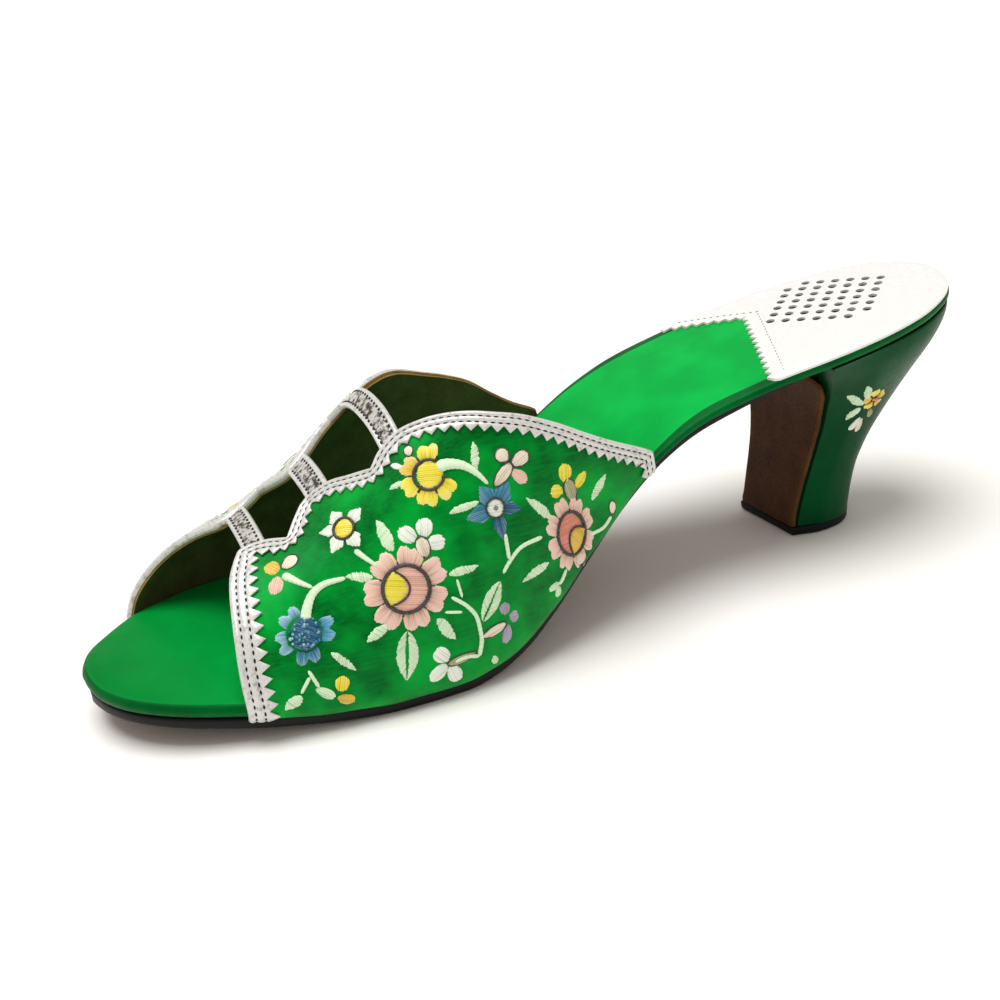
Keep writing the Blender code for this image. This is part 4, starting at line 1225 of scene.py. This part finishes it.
class Needle:
    """Embroiders one piece: satin stitch, stems, knots and outlines on a ground."""

    def __init__(self, ground, strand):
        self.ground, self.strand, self.piece = ground, strand, Piece()
        self.floss = list(FLOSS)
        self.chance = np.random.default_rng(7)

    def satin(self, anchor, start, end, floss, pad=0.2, steps=6, base=0.0, tips=0.0):
        """Ribs of floss between two edges, padded in the middle, closed underneath; strands differ at
        random, with painted shade in the valleys and painted highlight on the crests.
        """
        count = len(start)
        # Ends of strands lie a little ragged, less on the shortest ones.
        slack = np.minimum(0.2, 0.12 * np.linalg.norm(end - start, axis=1))[:, None]
        ragged = slack * (2.0 * self.chance.random((2, count, 1)) - 1.0) * unit(end - start)
        start, end = start + ragged[0], end + ragged[1]
        s = np.linspace(0.0, 1.0, steps)
        flat = start[:, None] * (1.0 - s)[None, :, None] + end[:, None] * s[None, :, None]
        x = np.linspace(-1.0, 1.0, count)
        swell = (1.0 - (2.0 * s - 1.0) ** 4)[None, :] * (0.4 + 0.6 * (1.0 - x ** 4))[:, None]
        lift = base + 0.08 + 0.7 * pad * swell
        crest = np.arange(count) % 2
        lift = lift + 0.1 * crest[:, None]
        lift[:, (0, -1)] = 0.4 * base - 0.06
        # Painted light: crests are painted lighter and valleys darker, over a random tone for each strand.
        high = 0.35 + 0.65 * self.chance.random(count)
        low = 0.1 + 0.35 * self.chance.random(count)
        tone = np.where(crest == 1, high, low)[:, None] + tips * (s - 0.45)[None, :]
        points = self.ground.lay(anchor, flat.reshape(-1, 2), lift.ravel())
        at = np.arange(count * steps).reshape(count, steps)
        faces = quads_of(count, steps, False)
        faces += [(at[i, 0], at[i, -1], at[i + 1, -1], at[i + 1, 0]) for i in range(count - 1)]
        faces += [tuple(at[0, :]), tuple(at[-1, ::-1])]
        self.piece.add(points, faces, self.floss.index(floss), tone.ravel())

    def lines(self, width):
        """Odd number of rib lines for a width in millimetres."""
        return 2 * max(2, round(width / self.strand)) + 1

    def cord(self, anchor, flat, floss, radius=0.24, closed=False, lift=0.25, end_radius=None):
        """A line of twisted thread along flat points, which may swell or thin towards its end."""
        flat = np.array(flat, float)
        if closed:
            flat = np.vstack((flat, flat[:1]))
        run = run_length(flat)
        even = np.linspace(0.0, run[-1], max(4, int(run[-1] / 0.35)))
        flat = along_line(flat, run, even)
        centre = self.ground.lay(anchor, flat, np.full(len(flat), lift))
        up = unit(self.ground.lay(anchor, flat, np.full(len(flat), lift + 1.0)) - centre)
        side = np.cross(up, unit(np.gradient(centre, axis=0)))
        share = even / max(run[-1], 1e-9)
        thick = radius + ((radius if end_radius is None else end_radius) - radius) * share
        dark = floss == "outline"
        twist = 0.0 * even if dark else np.sin(even * 2.0 * math.pi / 1.1)
        near_end = np.clip(np.minimum(even, run[-1] - even) / 0.9, 0.0, 1.0)
        thick = thick * (1.0 if dark else np.maximum(np.sqrt(1.0 - (1.0 - near_end) ** 2), 0.25))
        turn = np.linspace(0.0, 2.0 * math.pi, 7, endpoint=False)
        rings = []
        for c, s, n, t, w in zip(centre, side, up, thick, twist):
            wide = np.outer(np.cos(turn), s) * (1.0 + 0.05 * w)
            high = np.outer(np.sin(turn), n) * min(0.8, 0.42 / t) * (1.0 + 0.1 * w)
            rings.append(c + t * (wide + high))
        # Painted light: apart from outlines, the thread is painted lighter on one side and where its twist
        # swells.
        tone = 0.6 + 0.12 * twist[:, None] + 0.1 * np.cos(turn)[None, :] * (not dark)
        self.piece.tube(np.array(rings), self.floss.index(floss), tone.ravel())

    def knots(self, anchor, places, size, floss):
        """Small raised knots of floss."""
        turn = np.linspace(0.0, 2.0 * math.pi, 6, endpoint=False)
        circle = np.column_stack((np.cos(turn), np.sin(turn)))
        for k, place in enumerate(places):
            grow = size * (0.75 + 0.5 * self.chance.random())
            flat = np.vstack([place + circle * grow * g for g in (0.8, 1.0, 0.5)])
            lift = np.repeat((0.1, 0.42, 0.6), 6)
            rings = self.ground.lay(anchor, flat, lift).reshape(3, 6, 3)
            tone = np.full(18, 0.35 + 0.6 * self.chance.random())
            self.piece.tube(rings, self.floss.index(floss[k % len(floss)]), tone)

    def axis(self, base, tip):
        """Anchor, base, length and the two directions of a petal or leaf."""
        anchor = 0.5 * (np.array(base) + np.array(tip))
        b, t = self.ground.flat(anchor, (base, tip))
        length = np.linalg.norm(t - b)
        ahead = (t - b) / length
        return anchor, b, length, ahead, np.array((-ahead[1], ahead[0]))

    def petal(self, base, tip, width, floss, outlined=False):
        """Rounded petal stitched lengthwise."""
        anchor, b, length, ahead, side = self.axis(base, tip)
        y = np.linspace(-0.95, 0.95, self.lines(width))
        reach = np.sqrt(1.0 - y ** 2)
        middle = b + ahead * length * 0.53
        start = middle - np.outer(0.6 * length * reach ** 1.3, ahead) + np.outer(0.57 * width * y, side)
        end = middle + np.outer(0.52 * length * reach, ahead) + np.outer(0.57 * width * y, side)
        self.satin(anchor, start, end, floss, tips=0.2)
        if outlined:
            self.cord(anchor, np.vstack((start, end[::-1])), "outline", 0.15, True, 0.12)

    def leaf(self, base, tip, width, veined, floss="leaf"):
        """Pointed leaf stitched aslant, some in two halves with a bare vein between them."""
        anchor, b, length, ahead, side = self.axis(base, tip)
        f = np.linspace(0.0, 1.0, self.lines(length * 0.9))
        swell = 0.5 * width * np.sin(math.pi * np.clip(f, 0.0, 1.0) ** 0.85) ** 0.75 + 0.05
        lead = 0.12 * np.sin(math.pi * f)
        if not veined:
            start = b + np.outer(length * (f - 0.6 * lead), ahead) + np.outer(swell, side)
            end = b + np.outer(length * (f + 0.6 * lead), ahead) - np.outer(swell, side)
            self.satin(anchor, start, end, floss, 0.18, 5)
            return
        for hand in (1.0, -1.0):
            part = 0.2 * np.sin(math.pi * f) ** 0.5 * hand
            start = b + np.outer(length * (f - lead), ahead) + np.outer(part, side)
            reach = length * np.minimum(f + 0.5 * lead, 1.0)
            end = b + np.outer(reach, ahead) + np.outer(hand * swell, side)
            self.satin(anchor, start, end, floss, 0.18, 5)

    def disc(self, anchor, form, radius, floss, pad=0.3):
        """Round centre stitched straight across."""
        y = np.linspace(-0.96, 0.96, self.lines(2.0 * radius))
        reach = np.sqrt(1.0 - y ** 2)
        start, end = (radius * np.column_stack((sign * reach, y)) @ form.T for sign in (-1.0, 1.0))
        self.satin(anchor, start, end, floss, pad)

    def ring(self, anchor, form, radius, thick, first=0.0, last=360.0):
        """Dark outline round a centre, or part of one."""
        turn = np.radians(np.linspace(first, last, 48))
        flat = radius * np.column_stack((np.cos(turn), np.sin(turn))) @ form.T
        self.cord(anchor, flat, "outline", thick, lift=0.3)

    def eye(self, anchor, form, radius, turn, floss):
        """Lens-shaped eye against one side of a flower's centre, with its own outline."""
        y = np.linspace(-0.7, 0.7, self.lines(1.4 * radius)) * radius
        left = -0.94 * np.sqrt(radius ** 2 - y ** 2)
        right = left + 1.08 * radius * (1.0 - (y / (0.72 * radius)) ** 2) ** 0.7
        turned = form @ turning(turn)
        start, end = (np.column_stack((x, y)) @ turned.T for x in (left, right))
        self.satin(anchor, start, end, floss, 0.2, base=0.3)
        self.cord(anchor, end, "outline", 0.25, lift=0.5)

    def rays(self, anchor, form, inner, outer, turns, spread, floss, parted=True, notch=0.08):
        """Petals with two-lobed ends round a flower's centre, stitched outwards, parted by dark lines of
        outline thread that also give the gaps between petals painted shade.
        """
        half = math.radians(0.5 * spread)
        for k, turn in enumerate(turns):
            x = np.linspace(-1.0, 1.0, self.lines(1.6 * half * outer))
            ray = math.radians(turn) + half * x
            reach = outer * (1.0 - notch * np.exp(-(x / 0.22) ** 2) - 0.36 * np.abs(x) ** 4.5)
            way = np.column_stack((np.cos(ray), np.sin(ray)))
            start, end = inner * way @ form.T, reach[:, None] * way @ form.T
            self.satin(anchor, start, end, floss[k % len(floss)], tips=0.8)
            # The parting lines are outline stitches and painted shade for the gaps between the petals.
            if parted:
                for i in (0, -1):
                    self.cord(anchor, np.vstack((start[i], end[i])), "outline", 0.2, lift=0.2)

    def points(self, anchor, form, inner, radius, petals, floss):
        """Pointed petals of a star flower: turn, share of the radius and width of each."""
        for k, (turn, share, width) in enumerate(petals):
            outer = share * radius
            x = np.linspace(-1.0, 1.0, self.lines(width))
            turned = form @ turning(turn)
            start = np.column_stack((np.full(len(x), inner), 0.34 * width * x))
            end = np.column_stack((outer - 0.62 * (outer - inner) * np.abs(x) ** 1.2, 0.5 * width * x))
            self.satin(anchor, start @ turned.T, end @ turned.T, floss[k % len(floss)], tips=0.25)

    def flower(self, along, angle, radius, narrow, lean, kind):
        """One of the big flowers."""
        anchor = (along, angle)
        form = turning(lean) @ np.diag((narrow, 1.0))
        if kind == "peony":
            ring = 0.53 * radius
            turns = 35.0 + np.arange(7) * 360.0 / 7.0
            self.rays(anchor, form, 0.5 * radius, radius, turns, 51.0, ("peach",))
            self.disc(anchor, form, ring, "salmon")
            self.eye(anchor, form, ring, 0.0, "yellow")
            self.ring(anchor, form, ring, 0.42)
        elif kind == "rear_peony":
            ring = 0.56 * radius
            self.rays(anchor, form, 0.52 * radius, radius, 12.0 + np.arange(8) * 45.0, 44.6, ("peach",))
            self.disc(anchor, form, ring, "coral")
            self.eye(anchor, form, ring, 127.0, "gold")
            self.ring(anchor, form, ring, 0.38)
        elif kind == "yellow_rose":
            self.rays(anchor, form, 0.4 * radius, radius, (90.0, 150.0, 208.0, 262.0, 318.0), 57.0,
                      ("yellow", "gold", "yellow", "yellow", "yellow"))
            self.disc(anchor, form, 0.45 * radius, "yellow")
            self.ring(anchor, form, 0.47 * radius, 0.33, 62.0, 352.0)
        elif kind == "cornflower":
            inner = 0.56 * radius
            self.rays(anchor, form, inner, radius, (152.0, 220.0), 62.0, ("sky",), False, 0.2)
            self.rays(anchor, form, inner, radius, (27.0, 297.0), 66.0, ("azure", "blue"), False, 0.2)
            self.disc(anchor, form, 0.52 * radius, "teal")
            spread = self.chance.random((60, 2)) * np.array((2.0 * math.pi, 1.0))
            reach = 0.5 * radius * np.sqrt(spread[:, 1])
            inside = np.column_stack((reach * np.cos(spread[:, 0]), reach * np.sin(spread[:, 0]))) @ form.T
            self.knots(anchor, inside, 0.34, ("teal", "blue", "teal", "blue", "sky"))
        elif kind == "white_star":
            self.points(anchor, form, 0.36 * radius, radius, STAR_PETALS[kind], ("white",))
            self.disc(anchor, form, 0.38 * radius, "yellow")
            self.ring(anchor, form, 0.4 * radius, 0.3)
        else:
            self.points(anchor, form, 0.26 * radius, radius, STAR_PETALS[kind],
                        ("blue", "blue", "blue", "teal", "teal"))
            self.disc(anchor, form, 0.3 * radius, "white")
            self.ring(anchor, form, 0.32 * radius, 0.2)
            self.knots(anchor, np.zeros((1, 2)), 0.5, ("outline",))


def floss_materials():
    """One material for each colour of floss, made once."""
    made = []
    for name, code in FLOSS.items():
        label = "rayon_floss_" + name
        made.append(bpy.data.materials.get(label) or laid_floss(label, linear(code)))
    return made


def make_embroidery():
    """Flowers, leaves and stems in satin stitch on both panels."""
    strand = sizes()["strand"]

    def outer_side(along, angle):
        """Outer panel in the inner panel's measures: the pattern is mirrored and fits its lower edge."""
        share = edge_angle("lateral", along) / edge_angle("medial", along)
        return foot(along, 180.0 - np.asarray(angle, float) * 0.95 * share)

    for side, surface, out in (("inner", foot, 1.0), ("outer", outer_side, -1.0)):
        needle = Needle(Ground(surface, out), strand)
        for marks, thick, thin in STEMS:
            middle = np.array(marks).mean(axis=0)
            flat = spline(needle.ground.flat(middle, marks), 10)
            needle.cord(middle, flat, "leaf", thick, lift=0.1, end_radius=thin)
        for row in LEAVES:
            needle.leaf(row[:2], row[2:4], *row[4:])
        for row in PETALS:
            needle.petal(row[:2], row[2:4], row[4], row[5], row[5] in ("cream", "olive"))
        for row in FLOWERS:
            needle.flower(*row)
        needle.piece.make("embroidery_" + side, floss_materials(), sharp=80.0)


def make_sprig():
    """Small stitched sprig on each side of the heel."""
    strand = sizes()["strand"]
    for side, sign in (("inner", 1.0), ("outer", -1.0)):
        ground = Ground(lambda u, v: heel_skin(sign * np.asarray(u, float), v), sign, 0.004)
        needle = Needle(ground, strand)
        for row in SPRIG_LEAVES:
            needle.leaf(row[:2], row[2:4], row[4], False)
        for row in SPRIG_PETALS:
            needle.petal(row[:2], row[2:4], row[4], row[5])
        needle.rays(SPRIG_FLOWER, np.eye(2), 0.8, 3.6, np.arange(5) * 72.0 + 20.0, 66.0, ("gold", "yellow"))
        needle.knots(SPRIG_FLOWER, np.array(((0.0, 0.0), (0.6, 0.3), (-0.5, 0.4))), 0.5, ("coral",))
        needle.piece.make("heel_sprig_" + side, floss_materials(), sharp=80.0)


def make_stage():
    """Pale floor, soft studio light and the camera at the photographed angle."""
    scene = bpy.context.scene
    scene.view_settings.view_transform = "Standard"
    scene.view_settings.look = "None"
    mesh = bpy.data.meshes.new("studio_floor")
    corners = [(x * FLOOR_HALF, y * FLOOR_HALF, 0.0) for x, y in ((-1, -1), (1, -1), (1, 1), (-1, 1))]
    mesh.from_pydata(corners, [], [(0, 1, 2, 3)])
    # Matt studio paper: white with a barely warm tooth.
    material, tree, shader = new_material("matt_studio_paper", Roughness=0.8, Specular_IOR_Level=0.2)
    tooth = add_node(tree, "TexNoise", {
        "Vector": object_space(tree), "Scale": per_mm(2.0), "Detail": 3.0})
    tint = add_node(tree, "MixRGB", {
        "Fac": tooth, "Color1": linear("F8F6F3"), "Color2": linear("FAF9F8")})
    tree.links.new(tint, shader.inputs["Base Color"])
    mesh.materials.append(material)
    floor = bpy.data.objects.new("studio_floor", mesh)
    floor.location.z = -FLOOR_DROP
    scene.collection.objects.link(floor)
    world = bpy.data.worlds.new("studio_surround")
    world.use_nodes = True
    surround = world.node_tree.nodes["Background"]
    surround.inputs["Color"].default_value = linear("FFF8F0")
    surround.inputs["Strength"].default_value = SURROUND
    scene.world = world
    # A wide, even ceiling light: it has no falloff, so the floor stays evenly white.
    light = bpy.data.lights.new("ceiling_light", "SUN")
    light.energy, light.angle = LAMP_ENERGY, math.radians(LAMP_SPREAD)
    lamp = bpy.data.objects.new("ceiling_light", light)
    lamp.location = LAMP
    lamp.rotation_euler = (-Vector(lamp.location)).to_track_quat("-Z", "Y").to_euler()
    scene.collection.objects.link(lamp)
    eye, roll = Vector(EYE), math.radians(ROLL)
    ahead = (Vector(AIM) - eye).normalized()
    right = ahead.cross(Vector((0.0, 0.0, 1.0))).normalized()
    up = right.cross(ahead) * math.cos(roll) + right * math.sin(roll)
    right = ahead.cross(up)
    data = bpy.data.cameras.new("photo_view")
    data.lens, data.sensor_width, data.clip_start = LENS, SENSOR, 0.01
    camera = bpy.data.objects.new("photo_view", data)
    camera.matrix_world = Matrix.Translation(eye) @ Matrix((right, up, -ahead)).transposed().to_4x4()
    scene.collection.objects.link(camera)
    scene.camera = camera


class SLIPPER_OT_outsole(bpy.types.Operator):
    """Sole of inked leather, carried down the heel's breast"""

    bl_idname = "slipper.outsole"
    bl_label = "Outsole and breast"

    def execute(self, context):
        make_outsole()
        return {"FINISHED"}


class SLIPPER_OT_insole(bpy.types.Operator):
    """Padded insole covered in bright satin"""

    bl_idname = "slipper.insole"
    bl_label = "Insole"

    def execute(self, context):
        make_insole()
        return {"FINISHED"}


class SLIPPER_OT_sock(bpy.types.Operator):
    """Silver leather sock on the heel seat"""

    bl_idname = "slipper.sock"
    bl_label = "Heel sock"

    def execute(self, context):
        make_sock()
        return {"FINISHED"}


class SLIPPER_OT_heel(bpy.types.Operator):
    """Satin-covered heel and its lift"""

    bl_idname = "slipper.heel"
    bl_label = "Heel and lift"

    def execute(self, context):
        make_heel()
        make_top_piece()
        return {"FINISHED"}


class SLIPPER_OT_panels(bpy.types.Operator):
    """Lined satin side panels with scalloped tops"""

    bl_idname = "slipper.panels"
    bl_label = "Side panels"

    def execute(self, context):
        make_panels()
        return {"FINISHED"}


class SLIPPER_OT_trim(bpy.types.Operator):
    """Pinked silver trim round the panels, and the straps that join them"""

    bl_idname = "slipper.trim"
    bl_label = "Trim and straps"

    def execute(self, context):
        make_straps()
        make_trim()
        return {"FINISHED"}


class SLIPPER_OT_embroidery(bpy.types.Operator):
    """Flowers stitched on the panels and the sprig on the heel"""

    bl_idname = "slipper.embroidery"
    bl_label = "Embroidery"

    def execute(self, context):
        make_embroidery()
        make_sprig()
        return {"FINISHED"}


class SLIPPER_OT_stage(bpy.types.Operator):
    """Floor, soft light and camera"""

    bl_idname = "slipper.stage"
    bl_label = "Stage"

    def execute(self, context):
        make_stage()
        return {"FINISHED"}


OPERATORS = (
    SLIPPER_OT_outsole, SLIPPER_OT_insole, SLIPPER_OT_sock, SLIPPER_OT_heel, SLIPPER_OT_panels,
    SLIPPER_OT_trim, SLIPPER_OT_embroidery, SLIPPER_OT_stage,
)


class SLIPPER_PT_pieces(bpy.types.Panel):
    """Lists the slipper's pieces and their settings"""

    bl_idname = "SLIPPER_PT_pieces"
    bl_label = "Satin mule slipper"
    bl_space_type = "VIEW_3D"
    bl_region_type = "UI"
    bl_category = "Slipper"

    def draw(self, context):
        scene = context.scene
        for group, held in ((SlipperSizes, scene.slipper_sizes), (SlipperColours, scene.slipper_colours)):
            box = self.layout.box()
            for name in group.__annotations__:
                box.prop(held, name)
        for operator in OPERATORS:
            self.layout.operator(operator.bl_idname)


CLASSES = (SlipperSizes, SlipperColours) + OPERATORS + (SLIPPER_PT_pieces,)


def register():
    """Add the classes and the scene's settings."""
    for item in CLASSES:
        bpy.utils.register_class(item)
    bpy.types.Scene.slipper_sizes = bpy.props.PointerProperty(type=SlipperSizes)
    bpy.types.Scene.slipper_colours = bpy.props.PointerProperty(type=SlipperColours)


def unregister():
    """Take the settings and the classes out again."""
    del bpy.types.Scene.slipper_colours
    del bpy.types.Scene.slipper_sizes
    for item in reversed(CLASSES):
        bpy.utils.unregister_class(item)


def main():
    """Register the add-on and build every piece in order."""
    register()
    for operator in OPERATORS:
        getattr(bpy.ops.slipper, operator.bl_idname.split(".")[1])()


if __name__ == "__main__":
    main()
